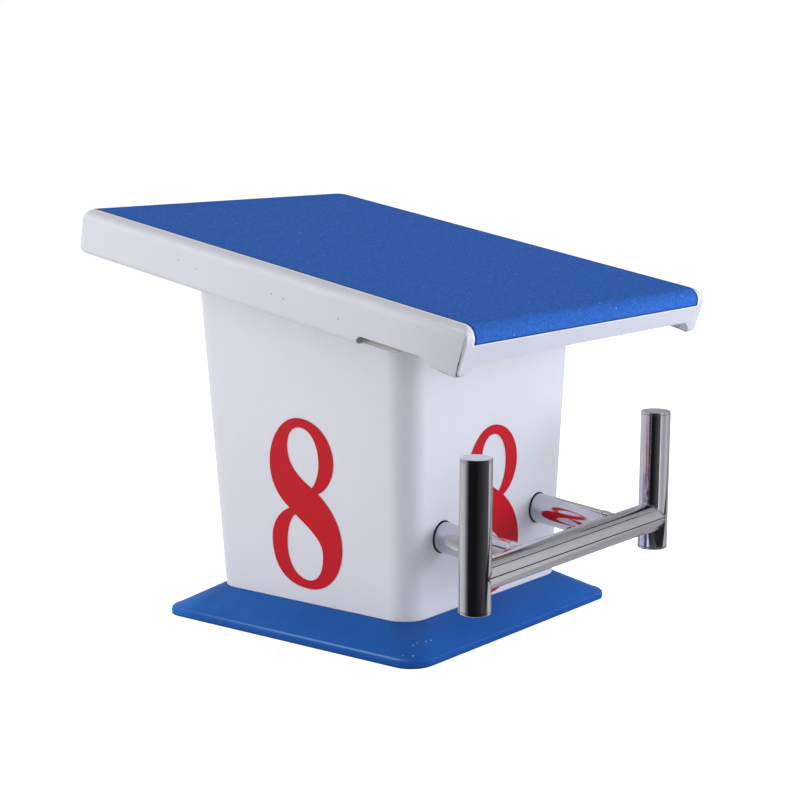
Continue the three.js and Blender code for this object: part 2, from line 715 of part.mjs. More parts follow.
// The figure 8, in shares of its height: each curve is two control points and an end
const figureStartShare = [0.101, 0.572];
const figureShares = [
  [0.175, 0.6, 0.227, 0.69, 0.227, 0.765],
  [0.227, 0.895, 0.12, 1, -0.02, 1],
  [-0.15, 1, -0.258, 0.86, -0.258, 0.71],
  [-0.258, 0.61, -0.2, 0.52, -0.119, 0.466],
  [-0.21, 0.43, -0.266, 0.35, -0.266, 0.262],
  [-0.266, 0.12, -0.14, 0, 0.007, 0],
  [0.16, 0, 0.266, 0.13, 0.266, 0.28],
  [0.266, 0.4, 0.2, 0.5, 0.101, 0.572],
];
const upperEyeStartShare = [0.058, 0.601];
const upperEyeShares = [
  [0.095, 0.64, 0.118, 0.7, 0.118, 0.765],
  [0.118, 0.86, 0.07, 0.946, -0.015, 0.946],
  [-0.08, 0.946, -0.118, 0.89, -0.118, 0.82],
  [-0.118, 0.73, -0.04, 0.66, 0.058, 0.601],
];
const lowerEyeStartShare = [-0.078, 0.432];
const lowerEyeShares = [
  [0.03, 0.36, 0.12, 0.3, 0.12, 0.225],
  [0.12, 0.11, 0.07, 0.051, 0, 0.051],
  [-0.09, 0.051, -0.152, 0.13, -0.152, 0.24],
  [-0.152, 0.33, -0.12, 0.41, -0.078, 0.432],
];

function drawCurves(path, startShare, curveShares) {
  path.moveTo(...startShare.map((share) => share * numberHeight));
  for (const curve of curveShares) {
    path.bezierCurveTo(...curve.map((share) => share * numberHeight));
  }
  return path;
}

function makeLaneNumbers() {
  const shape = drawCurves(new THREE.Shape(), figureStartShare, figureShares);
  shape.holes.push(
    drawCurves(new THREE.Path(), upperEyeStartShare, upperEyeShares),
    drawCurves(new THREE.Path(), lowerEyeStartShare, lowerEyeShares),
  );
  const figure = new THREE.ExtrudeGeometry(shape, {
    depth: numberThickness,
    bevelEnabled: false,
    curveSegments: numberCurveSteps,
  });
  const sides = [
    ['front', 0, pedestalLength / 2, 0, numberFrontLift],
    ['left', -Math.PI / 2, pedestalWidth / 2, numberSideShift, numberSideLift],
    ['right', Math.PI / 2, pedestalWidth / 2, -numberSideShift, numberSideLift],
    ['rear', Math.PI, pedestalLength / 2, 0, numberSideLift],
  ];
  for (const [name, heading, reach, shift, lift] of sides) {
    const turn = frameIn(startingBlock, 0, -pedestalSetForward, pedestalBottom, 0, heading);
    const face = frameIn(turn, 0, -reach, 0, Math.PI / 2 + pedestalDraft);
    const place = frameIn(face, shift, lift, seatGap);
    const seals = armRods(sealRadius + numberTrim, 0, armToWall + padBack, place);
    piece(`lane_number_${name}`, cut(solidOf(figure), seals), redVinyl, place);
  }
}

makePlinth();
makePedestal();
makePlatform();
makeDeckCore();
makeStiffeners();
makePlatformFasteners();
makePlinthFasteners();
makeGrip();
makeGripFittings();
makeLaneNumbers();

export default startingBlock;
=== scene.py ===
# Swimming starting block: its visible pieces, their finishes, the studio and the camera.
# Lengths are in metres and +Z is up. The pool lies towards -Y, and X runs along its edge.

from functools import partialmethod
from math import cos, pi, radians, sin, sqrt, tan

import bmesh
import bpy
from mathutils import Matrix, Vector


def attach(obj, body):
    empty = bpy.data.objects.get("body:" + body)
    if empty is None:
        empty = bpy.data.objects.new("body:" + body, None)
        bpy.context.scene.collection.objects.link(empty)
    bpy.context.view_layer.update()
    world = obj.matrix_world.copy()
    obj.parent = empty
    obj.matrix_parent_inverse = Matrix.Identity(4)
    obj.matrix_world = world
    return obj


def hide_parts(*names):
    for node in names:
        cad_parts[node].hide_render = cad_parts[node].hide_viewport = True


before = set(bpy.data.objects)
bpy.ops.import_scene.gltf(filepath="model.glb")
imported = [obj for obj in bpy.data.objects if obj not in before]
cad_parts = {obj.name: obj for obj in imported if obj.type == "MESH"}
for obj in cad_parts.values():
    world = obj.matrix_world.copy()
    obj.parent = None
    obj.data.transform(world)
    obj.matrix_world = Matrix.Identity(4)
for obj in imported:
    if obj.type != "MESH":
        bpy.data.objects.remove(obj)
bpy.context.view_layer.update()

# Gaps and cuts
SEAT_GAP = 0.0003
OVERRUN = 0.006
HAIR = 0.0001

# Platform, measured along its slope; its own frame has the deck at height zero and its front edge at y = 0
PLATFORM_WIDTH = 0.515
DECK_HALF = PLATFORM_WIDTH / 2
PLATFORM_LENGTH = 0.632
SLOPE = radians(10.5)
FRONT_HEIGHT = 0.4153
DECK_THICKNESS = 0.007
SKIRT_DEPTH = 0.057
SKIRT_WALL = 0.012
SHOULDER_WIDTH = 0.0158
SHOULDER_DEPTH = 0.013
REAR_SHOULDER = 0.012
NOSE_RADIUS = 0.020
FRONT_RAKE = radians(9.6)
FRONT_CORNER = 0.003
REAR_CORNER = 0.014
SKIRT_EDGE = 0.007
INNER_ROUND = 0.010
LIP_DEPTH = 0.043
LIP_ROUND = 0.0025
LEG_WIDTH = 0.031
LEG_FLARE = 1.4
LEG_EDGE = 0.0480  # below this depth the legs are drawn lower,
LEG_DROP = 0.0030  # by up to this much at their tips
LEG_EASE = 0.0009
LEG_EASE_FROM = -0.04
LEG_TIP = 0.010
NOTCH_HEIGHT = 0.0105
NOTCH_REAR = 0.1545
NOTCH_FRONT = 0.036
NOTCH_REAR_ROUND = 0.007
NOTCH_FRONT_RUN = 0.030
SHEET_THICKNESS = 0.002
SHEET_DROP = 0.0208
SHEET_REAR_CORNER = 0.004
SHEET_REAR_MARGIN = 0.0065
CORE_THICKNESS = 0.015
CORE_BOTTOM = DECK_THICKNESS + SEAT_GAP + CORE_THICKNESS
STIFFENER_THICKNESS = 0.010
STIFFENER_FRONT = 0.098
STIFFENER_REAR_MARGIN = 0.055
STIFFENER_TOP = 0.030
STIFFENER_RISE = 0.0008
STIFFENER_ROUND = 0.012
HANDLE = 0.45  # share of a round's radius at which its curve handle lies

# Pedestal and plinth
SIDE_OVERHANG = 0.0945
FRONT_OVERHANG = 0.1635
REAR_OVERHANG = 0.1339
SET_FORWARD = 0.0025
PEDESTAL_WIDTH = PLATFORM_WIDTH - 2 * SIDE_OVERHANG
PEDESTAL_LENGTH = PLATFORM_LENGTH * cos(SLOPE) - FRONT_OVERHANG - REAR_OVERHANG
FRONT_REACH = FRONT_OVERHANG + PEDESTAL_LENGTH / 2 + SET_FORWARD
DRAFT = radians(2.4)
PEDESTAL_CORNER = 0.032
PEDESTAL_WALL = 0.006
PEDESTAL_FLOOR = 0.010
FLANGE_REACH = 0.034
FLANGE_TOP = CORE_BOTTOM + SEAT_GAP
FLANGE_THICKNESS = 0.010
FLANGE_BOTTOM = FLANGE_TOP + FLANGE_THICKNESS
PLINTH_ASIDE = 0.049
PLINTH_AHEAD = 0.0505
PLINTH_WIDTH = PEDESTAL_WIDTH + 2 * PLINTH_ASIDE
PLINTH_LENGTH = PEDESTAL_LENGTH + 2 * PLINTH_AHEAD
PLINTH_CORNER = 0.030
PLINTH_EDGE_HEIGHT = 0.0095
PLINTH_EDGE_ROUND = 0.004
PLINTH_HEIGHT = 0.0367
PLINTH_TOP_MARGIN = 0.002
PLINTH_WALL = 0.006
FOOT = PLINTH_HEIGHT + SEAT_GAP
FOOT_FRONT = -SET_FORWARD - PEDESTAL_LENGTH / 2
FOOT_EASE = 0.0012
FOOT_OUTSIDE = 0.13
TALL = 0.56  # forms are drawn up to this height and trimmed below the deck
FLANGE_START = 0.30
COLUMN_START = 0.28

# Grip
TUBE_RADIUS = 0.019
TUBE_BORE = 0.0165
TUBE_EDGE = 0.0004
GRIP_REACH = 0.2865
GRIP_HEIGHT = 0.1221
ARM_INSET = 0.06135
ARM_X = PEDESTAL_WIDTH / 2 - ARM_INSET
ARM_RISE = radians(6.2)
ARM_STUB = 0.006
UPRIGHT_X = 0.1953
UPRIGHT_LEAN = radians(1.1)
UPRIGHT_ABOVE = 0.1394
UPRIGHT_BELOW = 0.0416
CAP_THICKNESS = 0.003
CAP_CHAMFER = 0.001
CAP_SPIGOT = 0.008
CAP_EDGE = 0.0003
SEAL_THICKNESS = 0.0007
SEAL_PROUD = 0.0016
SEAL_EASE = 0.0006
PAD_THICKNESS = 0.018
PAD_BACK = PEDESTAL_WALL + SEAT_GAP + PAD_THICKNESS
PLATE_THICKNESS = 0.006
PLATE_BACK = PAD_BACK + SEAT_GAP + PLATE_THICKNESS
PAD_HALF_HEIGHT = 0.042
BEAD_RADIUS = 0.0009
BEAD_UNEVENNESS = 0.18
BEAD_POINTS = 72
UPRIGHT_CUT = 0.1
CROSSBAR_CUT = 0.3

# Fasteners
BOLT_RADIUS = 0.004
HEAD_RADIUS = 0.0075
HEAD_HEIGHT = 0.0053
CROWN_REACH = 1.25
CROWN_CUT = 0.42
CROWN_SQUASH = 0.5
BOLT_CLEARANCE = 0.0005
WASHER_RADIUS = 0.010
WASHER_THICKNESS = 0.0016
INSERT_RADIUS = 0.007
INSERT_SUNK = 0.001
INSERT_EDGE = 0.0004
WASHER_EDGE = 0.0003
BOLT_POINT = 0.0008
FLOOR_BOLT_BITE = 0.015
PLINTH_BOLT_INSET = 0.0585
PLATFORM_BOLT_INSET = 0.075
GRIP_BOLT_ASIDE = 0.0276
GRIP_BOLT_INSET = 0.014

# Lane number
NUMBER_HEIGHT = 0.2185
NUMBER_THICKNESS = 0.0005

# Smoothness
CORNER_STEPS = 16
ROUND_STEPS = 10
TUBE_SIDES = 96
SMALL_SIDES = 32
FASTENER_SIDES = 48
SMOOTH_ANGLE = radians(32)
SHARP_ANGLE = radians(35)
TINY = 0.00002
RIGHT_ANGLE = radians(90)
QUARTER = [RIGHT_ANGLE * i / ROUND_STEPS for i in range(ROUND_STEPS + 1)]
SIDE_NAMES = {-1: "left", 1: "right"}
CORNERS = ((-1, -1), (1, -1), (1, 1), (-1, 1))


def moved(x=0, y=0, z=0):
    return Matrix.Translation((x, y, z))


def turned(angle, axis="X"):
    return Matrix.Rotation(angle, 4, axis)


DECK_PLACE = moved(0, -FRONT_REACH, FRONT_HEIGHT) @ turned(SLOPE)
GRIP_PLACE = moved(y=-GRIP_REACH, z=GRIP_HEIGHT)
ARM_PLACE = GRIP_PLACE @ turned(ARM_RISE)
UPRIGHT_PLACE = GRIP_PLACE @ turned(UPRIGHT_LEAN)
CROSSBAR_PLACE = GRIP_PLACE @ turned(RIGHT_ANGLE, "Y")
WALL_RUN = FOOT_FRONT + GRIP_REACH - tan(DRAFT) * (GRIP_HEIGHT - FOOT)
ARM_TO_WALL = WALL_RUN / (cos(ARM_RISE) + tan(DRAFT) * sin(ARM_RISE))
WALL_PLACE = moved(
    0, ARM_TO_WALL * cos(ARM_RISE) - GRIP_REACH, ARM_TO_WALL * sin(ARM_RISE) + GRIP_HEIGHT,
) @ turned(DRAFT)
DECK_NORMAL = (DECK_PLACE.to_3x3() @ Vector((0, 0, 1))).normalized()


# Selecting and shaping

def pick_only(*objs):
    bpy.ops.object.select_all(action="DESELECT")
    for obj in objs:
        obj.select_set(True)
    bpy.context.view_layer.objects.active = objs[0]


def open_edit(obj, kind="FACE"):
    pick_only(obj)
    bpy.ops.object.mode_set(mode="EDIT")
    bpy.ops.mesh.select_mode(type=kind)


def close_edit():
    bpy.ops.object.mode_set(mode="OBJECT")


def select_all():
    bpy.ops.mesh.select_all(action="SELECT")


def select_parts(obj, kind, test):
    """In edit mode, selects the faces, edges or points that pass the test."""
    bpy.ops.mesh.select_mode(type=kind)
    bpy.ops.mesh.select_all(action="DESELECT")
    mesh = bmesh.from_edit_mesh(obj.data)
    for part in {"FACE": mesh.faces, "EDGE": mesh.edges, "VERT": mesh.verts}[kind]:
        part.select_set(bool(test(part)))
    if kind == "VERT":
        mesh.select_flush_mode()
    bmesh.update_edit_mesh(obj.data)


def select_faces(obj, test):
    select_parts(obj, "FACE", lambda face: test(face.calc_center_median(), face.normal))


def select_sharp(obj, test):
    """In edit mode, selects the edges that turn sharply and whose middle passes the test."""
    select_parts(obj, "EDGE", lambda edge: len(edge.link_faces) == 2
                 and edge.calc_face_angle(0) > SHARP_ANGLE
                 and test((edge.verts[0].co + edge.verts[1].co) / 2))


def select_points(obj, test):
    select_parts(obj, "VERT", lambda point: test(point.co))


def settle(obj, place=None):
    """Puts the object's place into its mesh."""
    if place is not None:
        obj.matrix_world = place @ obj.matrix_world
    pick_only(obj)
    bpy.ops.object.transform_apply(location=True, rotation=True, scale=True)
    return obj


def face_out(obj):
    open_edit(obj)
    select_all()
    bpy.ops.mesh.remove_doubles(threshold=TINY / 4)
    bpy.ops.mesh.normals_make_consistent(inside=False)
    close_edit()
    return obj


def apply_modifier(obj, kind, **settings):
    pick_only(obj)
    modifier = obj.modifiers.new(kind.title(), kind)
    for name, value in settings.items():
        setattr(modifier, name, value)
    bpy.ops.object.modifier_apply(modifier=modifier.name)
    return obj


def combine(obj, other, operation):
    apply_modifier(obj, "BOOLEAN", object=other, operation=operation, solver="EXACT")
    bpy.data.objects.remove(other)
    return obj


def cut(obj, *cutters):
    for cutter in cutters:
        combine(obj, cutter, "DIFFERENCE")
    return obj


def add_object(name, data):
    made = bpy.data.objects.new(name, data)
    bpy.context.scene.collection.objects.link(made)
    return made


def twin(obj, name):
    return add_object(name, obj.data.copy())


def join_to(obj, *others):
    pick_only(obj, *others)
    bpy.ops.object.join()
    return obj


def shade(obj):
    pick_only(obj)
    bpy.ops.object.shade_smooth_by_angle(angle=SMOOTH_ANGLE)
    return apply_modifier(obj, "WEIGHTED_NORMAL", keep_sharp=True, weight=50)


def bevel(width, segments, affect="EDGES", **settings):
    bpy.ops.mesh.bevel(
        offset=width, offset_type="OFFSET", segments=segments, profile=0.5, affect=affect, **settings,
    )


def ease_edges(obj, width, test, segments=2):
    """Rounds the sharp edges whose middle passes the test."""
    open_edit(obj, "EDGE")
    select_sharp(obj, test)
    bevel(width, segments, clamp_overlap=True, loop_slide=True)
    close_edit()
    return obj


def halve(point, normal, clear_outer):
    """In edit mode, cuts a form with a plane and closes it."""
    select_all()
    bpy.ops.mesh.bisect(
        plane_co=tuple(point), plane_no=tuple(normal), use_fill=True,
        clear_outer=clear_outer, clear_inner=not clear_outer,
    )


# Forms that several pieces start from

def open_plane(name, width, length):
    """A plane, left in edit mode with its points selected."""
    bpy.ops.mesh.primitive_plane_add(size=1)
    plane = bpy.context.object
    plane.name = name
    open_edit(plane, "VERT")
    select_all()
    bpy.ops.transform.resize(value=(width, length, 1), center_override=(0, 0, 0))
    return plane


def rounded_plate(name, half, near, far, height, near_corner, far_corner):
    """A flat plate with rounded corners, as wide to the left as to the right."""
    plate = open_plane(name, 2 * half, far - near)
    middle = (near + far) / 2
    bpy.ops.transform.translate(value=(0, middle, height))
    select_points(plate, lambda co: co.y < middle)
    bevel(near_corner, CORNER_STEPS, "VERTICES")
    select_points(plate, lambda co: co.y > far - TINY)
    bevel(far_corner, CORNER_STEPS, "VERTICES")
    close_edit()
    return plate


def raised(name, rings, near_corner, far_corner):
    """A plate extruded through rings, each of them half its width, near, far and height."""
    obj = rounded_plate(name, *rings[0], near_corner, far_corner)
    open_edit(obj)
    select_all()
    for old, new in zip(rings, rings[1:]):
        was, now = (Vector((0, (near + far) / 2, height)) for _, near, far, height in (old, new))
        bpy.ops.mesh.extrude_region_move(TRANSFORM_OT_translate={"value": tuple(now - was)})
        along = (new[2] - new[1]) / (old[2] - old[1])
        bpy.ops.transform.resize(value=(new[0] / old[0], along, 1), center_override=tuple(now))
    close_edit()
    return face_out(obj)


def bridged(lower, upper):
    """A closed form between two plates, which have as many points each."""
    join_to(lower, upper)
    open_edit(lower, "EDGE")
    select_all()
    bpy.ops.mesh.bridge_edge_loops()
    close_edit()
    return face_out(lower)


def rod(name, radius, start, end, place=None, sides=TUBE_SIDES):
    """A round rod along Z from one height to another."""
    bpy.ops.mesh.primitive_cylinder_add(
        vertices=sides, radius=radius, depth=end - start, location=(0, 0, (start + end) / 2),
    )
    made = bpy.context.object
    made.name = name
    return settle(made, place)


def bolt_hole(low, high, place):
    return rod("cutter", BOLT_RADIUS + BOLT_CLEARANCE, low, high, place, SMALL_SIDES)


def ring(name, inner, outer, start, end, rounding=0.0, place=None, sides=TUBE_SIDES, steps=3):
    """A turned ring about Z: its section is rounded and then spun."""
    made = open_plane(name, outer - inner, end - start)
    if rounding:
        bevel(rounding, steps, "VERTICES")
    select_all()
    bpy.ops.transform.translate(value=((inner + outer) / 2, (start + end) / 2, 0))
    close_edit()
    settle(made, turned(RIGHT_ANGLE))
    open_edit(made, "EDGE")
    select_all()
    bpy.ops.mesh.delete(type="ONLY_FACE")
    select_all()
    bpy.ops.mesh.spin(
        steps=sides, angle=2 * pi, center=(0, 0, 0), axis=(0, 0, 1), use_auto_merge=True,
    )
    close_edit()
    return settle(face_out(made), place)


def mesh_of(name, curve):
    pick_only(add_object(name, curve))
    bpy.ops.object.convert(target="MESH")
    return bpy.context.object


def corner(at, before=None, after=None):
    """A point of an outline with both its handles, which lie on it where none is given."""
    return (before or at, at, after or at)


def flat_form(name, outlines, thickness, place=None, resolution=12):
    """A flat form from closed curves: each outline is a list of points with both their handles."""
    curve = bpy.data.curves.new(name, "CURVE")
    curve.dimensions = "2D"
    curve.fill_mode = "BOTH"
    curve.resolution_u = resolution
    curve.extrude = thickness / 2
    for outline in outlines:
        spline = curve.splines.new("BEZIER")
        spline.bezier_points.add(len(outline) - 1)
        spline.use_cyclic_u = True
        for point, (before, at, after) in zip(spline.bezier_points, outline):
            point.handle_left_type = "FREE"
            point.handle_right_type = "FREE"
            point.co = (*at, 0)
            point.handle_left = (*before, 0)
            point.handle_right = (*after, 0)
    made = settle(mesh_of(name, curve), moved(z=thickness / 2))
    return settle(face_out(made), place)


def round_inset(width, radius, depth):
    """How far a quarter round has drawn in at a depth below its start."""
    rest = min(max(1 - depth / radius, 0), 1)
    return width * (1 - sqrt(1 - rest * rest))


def foot_plate(name, height, grow, corner_radius):
    """A plate that stands out evenly round the pedestal's foot."""
    return rounded_plate(
        name, PEDESTAL_WIDTH / 2 + grow, FOOT_FRONT - grow, FOOT_FRONT + PEDESTAL_LENGTH + grow, height,
        corner_radius, corner_radius,
    )


# Plinth

def plinth_form(name, inset, lowest, highest):
    rounding = max(PLINTH_EDGE_ROUND - inset, 0)
    half_x = PLINTH_WIDTH / 2 - inset
    half_y = PLINTH_LENGTH / 2 - inset
    corner_radius = PLINTH_CORNER - inset
    edge_top = PLINTH_EDGE_HEIGHT - inset
    rings = [(half_x, -half_y, half_y, lowest)]
    for angle in QUARTER if rounding else [0]:
        draw = rounding * (1 - cos(angle))
        height = edge_top - rounding * (1 - sin(angle))
        rings.append((half_x - draw, draw - half_y, half_y - draw, height))
    body = raised(name, rings, corner_radius, corner_radius)
    open_edit(body)
    select_faces(body, lambda centre, normal: centre.z > edge_top - TINY and normal.z > 0.99)
    bpy.ops.mesh.delete(type="FACE")
    close_edit()
    join_to(body, foot_plate("top", highest, PLINTH_TOP_MARGIN, PEDESTAL_CORNER + PLINTH_TOP_MARGIN))
    open_edit(body, "EDGE")
    select_parts(body, "EDGE", lambda edge: edge.is_boundary)
    bpy.ops.mesh.bridge_edge_loops()
    close_edit()
    return face_out(body)


def plinth_bolt_spots():
    x = PEDESTAL_WIDTH / 2 - PLINTH_BOLT_INSET
    y = PEDESTAL_LENGTH / 2 - PLINTH_BOLT_INSET
    return [(sx * x, sy * y - SET_FORWARD) for sx, sy in CORNERS]


def plinth_bolt_cutters(low, high):
    return [bolt_hole(low, high, moved(x, y)) for x, y in plinth_bolt_spots()]


def make_plinth():
    hollow_top = PLINTH_HEIGHT - PLINTH_WALL
    plinth = plinth_form("plinth_cover", 0, 0, PLINTH_HEIGHT)
    cut(plinth, plinth_form("hollow", PLINTH_WALL, -OVERRUN, hollow_top))
    cut(plinth, *plinth_bolt_cutters(hollow_top - OVERRUN, PLINTH_HEIGHT + OVERRUN))
    return shade(plinth)


# Pedestal

def pedestal_plate(name, height, offset):
    grow = offset + (height - FOOT) * tan(DRAFT)
    return foot_plate(name, height, grow, max(PEDESTAL_CORNER + offset, PEDESTAL_WALL))


def pedestal_form(name, low, high, offset):
    return bridged(pedestal_plate(name, low, offset), pedestal_plate("top", high, offset))


def trim(obj, depth, keep_below=True):
    """Cuts a form with a plane at a depth below the deck."""
    open_edit(obj)
    halve(DECK_PLACE @ Vector((0, 0, -depth)), DECK_NORMAL, keep_below)
    close_edit()
    return obj


def platform_bolt_spots():
    widening = tan(DRAFT) * (FRONT_HEIGHT - FOOT)
    x = PEDESTAL_WIDTH / 2 + widening + FLANGE_REACH / 2
    middle = (FOOT_FRONT + PEDESTAL_LENGTH / 2 + FRONT_REACH) / cos(SLOPE)
    half = (PEDESTAL_LENGTH / 2 + widening + FLANGE_REACH) / cos(SLOPE) - PLATFORM_BOLT_INSET
    return [(side * x, middle + row * half) for row in (-1, 0, 1) for side in (-1, 1)]


def arm_place(side):
    """The frame of an arm: its axis runs along Z from the crossbar to the pedestal."""
    return ARM_PLACE @ moved(side * ARM_X) @ turned(-RIGHT_ANGLE)


def make_pedestal():
    pedestal = trim(pedestal_form("pedestal", FOOT, TALL, 0), FLANGE_TOP)
    floor = FOOT + PEDESTAL_FLOOR
    cut(pedestal, pedestal_form("hollow", floor, TALL + OVERRUN, -PEDESTAL_WALL))
    hole = TUBE_RADIUS + SEAL_THICKNESS + 2 * SEAT_GAP
    for side in (-1, 1):
        cut(pedestal, rod("cutter", hole, ARM_TO_WALL - PAD_BACK, ARM_TO_WALL + PAD_BACK, arm_place(side)))
    cut(pedestal, *plinth_bolt_cutters(FOOT - OVERRUN, floor + OVERRUN))
    ease_edges(pedestal, FOOT_EASE, lambda middle: middle.z < FOOT + TINY
               and max(abs(middle.x), abs(middle.y)) > FOOT_OUTSIDE)
    return shade(pedestal)


def make_flange():
    flange = trim(pedestal_form("flange_ring", FLANGE_START, TALL, FLANGE_REACH), FLANGE_TOP)
    trim(flange, FLANGE_BOTTOM, keep_below=False)
    cut(flange, pedestal_form("column", COLUMN_START, TALL + OVERRUN, SEAT_GAP))
    for x, along in platform_bolt_spots():
        place = DECK_PLACE @ moved(x, along)
        cut(flange, bolt_hole(-FLANGE_BOTTOM - OVERRUN, -FLANGE_TOP + OVERRUN, place))
    return shade(flange)


# Platform, in its own frame

def tray_form(name, draw_in):
    nose = NOSE_RADIUS - draw_in
    edge_start = SKIRT_DEPTH - SKIRT_EDGE
    depths = [draw_in + nose * (1 - cos(angle)) for angle in QUARTER]
    depths += [edge_start + SKIRT_EDGE * sin(angle) for angle in QUARTER]
    rings = []
    for depth in reversed(depths):
        below = depth - draw_in
        edge = round_inset(SKIRT_EDGE, SKIRT_EDGE, SKIRT_DEPTH - depth)
        side = DECK_HALF - edge - round_inset(SHOULDER_WIDTH, SHOULDER_DEPTH, below)
        face_back = draw_in / cos(FRONT_RAKE) + depth * tan(FRONT_RAKE)
        front = face_back + round_inset(nose, nose, below) + edge
        # The rear edge is the highest spot, so its round never climbs above the deck's end
        rear_draw = round_inset(REAR_SHOULDER, SHOULDER_DEPTH, below)
        rear_draw = max(rear_draw, REAR_SHOULDER - below / tan(SLOPE))
        rear = PLATFORM_LENGTH - HAIR - edge - rear_draw
        rings.append((side, front, rear, -depth))
    return raised(name, rings, FRONT_CORNER, REAR_CORNER)


def tray_hollow():
    depths = [SKIRT_DEPTH + OVERRUN]
    depths += [DECK_THICKNESS + INNER_ROUND * (1 - cos(angle)) for angle in reversed(QUARTER)]
    rings = []
    for depth in depths:
        fillet = round_inset(INNER_ROUND, INNER_ROUND, depth - DECK_THICKNESS)
        side = DECK_HALF - SKIRT_WALL - fillet
        front = depth * tan(FRONT_RAKE) + SKIRT_WALL + fillet
        rings.append((side, front, PLATFORM_LENGTH - SKIRT_WALL - fillet, -depth))
    return raised("hollow", rings, INNER_ROUND, INNER_ROUND)


def sheet_prism(margin):
    half = DECK_HALF - SHOULDER_WIDTH + margin
    far = PLATFORM_LENGTH - SHEET_REAR_MARGIN + margin
    rings = [(half, -OVERRUN, far, height) for height in (-SHEET_DROP - margin, OVERRUN)]
    return raised("prism", rings, SHEET_THICKNESS, SHEET_REAR_CORNER + margin)


def side_stand(x):
    """A frame for a form drawn along the platform's side, whose thickness runs towards +X."""
    return moved(x) @ turned(RIGHT_ANGLE, "Z") @ turned(RIGHT_ANGLE)


def lip_cutter():
    """The gap between the front legs, with rounded upper corners."""
    half = DECK_HALF - LEG_WIDTH
    drop = SKIRT_DEPTH - LIP_DEPTH + OVERRUN
    foot = half + LEG_FLARE * drop
    reach = SKIRT_DEPTH * tan(FRONT_RAKE) + SKIRT_WALL + OVERRUN
    low, upper = -LIP_DEPTH - drop, -LIP_DEPTH
    aside, down = LEG_FLARE * LIP_ROUND, upper - LIP_ROUND
    outline = [
        corner((-foot, low)),
        corner((foot, low)),
        corner((half + aside, down), after=(half + aside / 2, upper - LIP_ROUND / 2)),
        corner((half - LIP_ROUND, upper), before=(half - LIP_ROUND / 2, upper)),
        corner((LIP_ROUND - half, upper), after=(LIP_ROUND / 2 - half, upper)),
        corner((-half - aside, down), before=(-half - aside / 2, upper - LIP_ROUND / 2)),
    ]
    return flat_form("cutter", [outline], reach + OVERRUN, moved(y=reach) @ turned(RIGHT_ANGLE))


def notch_cutter(side):
    """Along the skirt: steep and rounded at the rear, an easy curve at the front."""
    ceiling = NOTCH_HEIGHT - SKIRT_DEPTH
    floor = -SKIRT_DEPTH - OVERRUN
    middle = NOTCH_FRONT + NOTCH_FRONT_RUN / 2
    rear, rounding = NOTCH_REAR, NOTCH_REAR_ROUND
    outline = [
        corner((rear, floor)),
        corner((rear, ceiling - rounding), after=(rear, ceiling - rounding * HANDLE)),
        corner((rear - rounding, ceiling), before=(rear - rounding * HANDLE, ceiling)),
        corner((NOTCH_FRONT + NOTCH_FRONT_RUN, ceiling), after=(middle, ceiling)),
        corner((NOTCH_FRONT, floor), before=(middle, -SKIRT_DEPTH)),
    ]
    depth = SKIRT_WALL + 2 * OVERRUN
    near = DECK_HALF - SKIRT_WALL - OVERRUN
    return flat_form("cutter", [outline], depth, side_stand(near if side > 0 else -near - depth))


def make_platform():
    platform = tray_form("platform", 0)
    sheet = twin(platform, "deck_surface")
    cut(platform, tray_hollow())
    recess = sheet_prism(SEAT_GAP)
    cut(recess, tray_form("inner", SHEET_THICKNESS + SEAT_GAP))
    cut(platform, recess, lip_cutter(), notch_cutter(-1), notch_cutter(1))
    combine(sheet, sheet_prism(0), "INTERSECT")
    cut(sheet, tray_form("inner", SHEET_THICKNESS))
    near = TINY * 5
    ease_edges(platform, LEG_EASE, lambda middle: middle.z < LEG_EASE_FROM and (
        abs(middle.x) > DECK_HALF - near or middle.y < middle.z * -tan(FRONT_RAKE) + near))
    for point in platform.data.vertices:
        low = (-LEG_EDGE - point.co.z) / (SKIRT_DEPTH - LEG_EDGE)
        ahead = min(1.0, (NOTCH_FRONT - point.co.y) / (NOTCH_FRONT - LEG_TIP))
        if low > 0 and ahead > 0:
            point.co.z -= LEG_DROP * ahead * low
    settle(platform, DECK_PLACE)
    settle(sheet, DECK_PLACE)
    return shade(platform), shade(sheet)


def make_stiffener(side):
    outer = DECK_HALF - SKIRT_WALL - SEAT_GAP
    rear = PLATFORM_LENGTH - STIFFENER_REAR_MARGIN
    bottom = STIFFENER_RISE - SKIRT_DEPTH
    front, rounding = STIFFENER_FRONT, STIFFENER_ROUND
    outline = [
        corner((front, -STIFFENER_TOP)),
        corner((front, bottom + rounding), after=(front, bottom + rounding * HANDLE)),
        corner((front + rounding, bottom), before=(front + rounding * HANDLE, bottom)),
        corner((rear, bottom)),
        corner((rear, -STIFFENER_TOP)),
    ]
    stand = DECK_PLACE @ side_stand(outer - STIFFENER_THICKNESS if side > 0 else -outer)
    return shade(flat_form(f"stiffener_{SIDE_NAMES[side]}", [outline], STIFFENER_THICKNESS, stand))


# Grip

def tube(name, start, end, place):
    return ring(name, TUBE_BORE, TUBE_RADIUS, start, end, TUBE_EDGE, place)


def tube_hole(half_length, place):
    return rod("cutter", TUBE_RADIUS + SEAT_GAP, -half_length, half_length, place)


def upright_place(side):
    return UPRIGHT_PLACE @ moved(side * UPRIGHT_X)


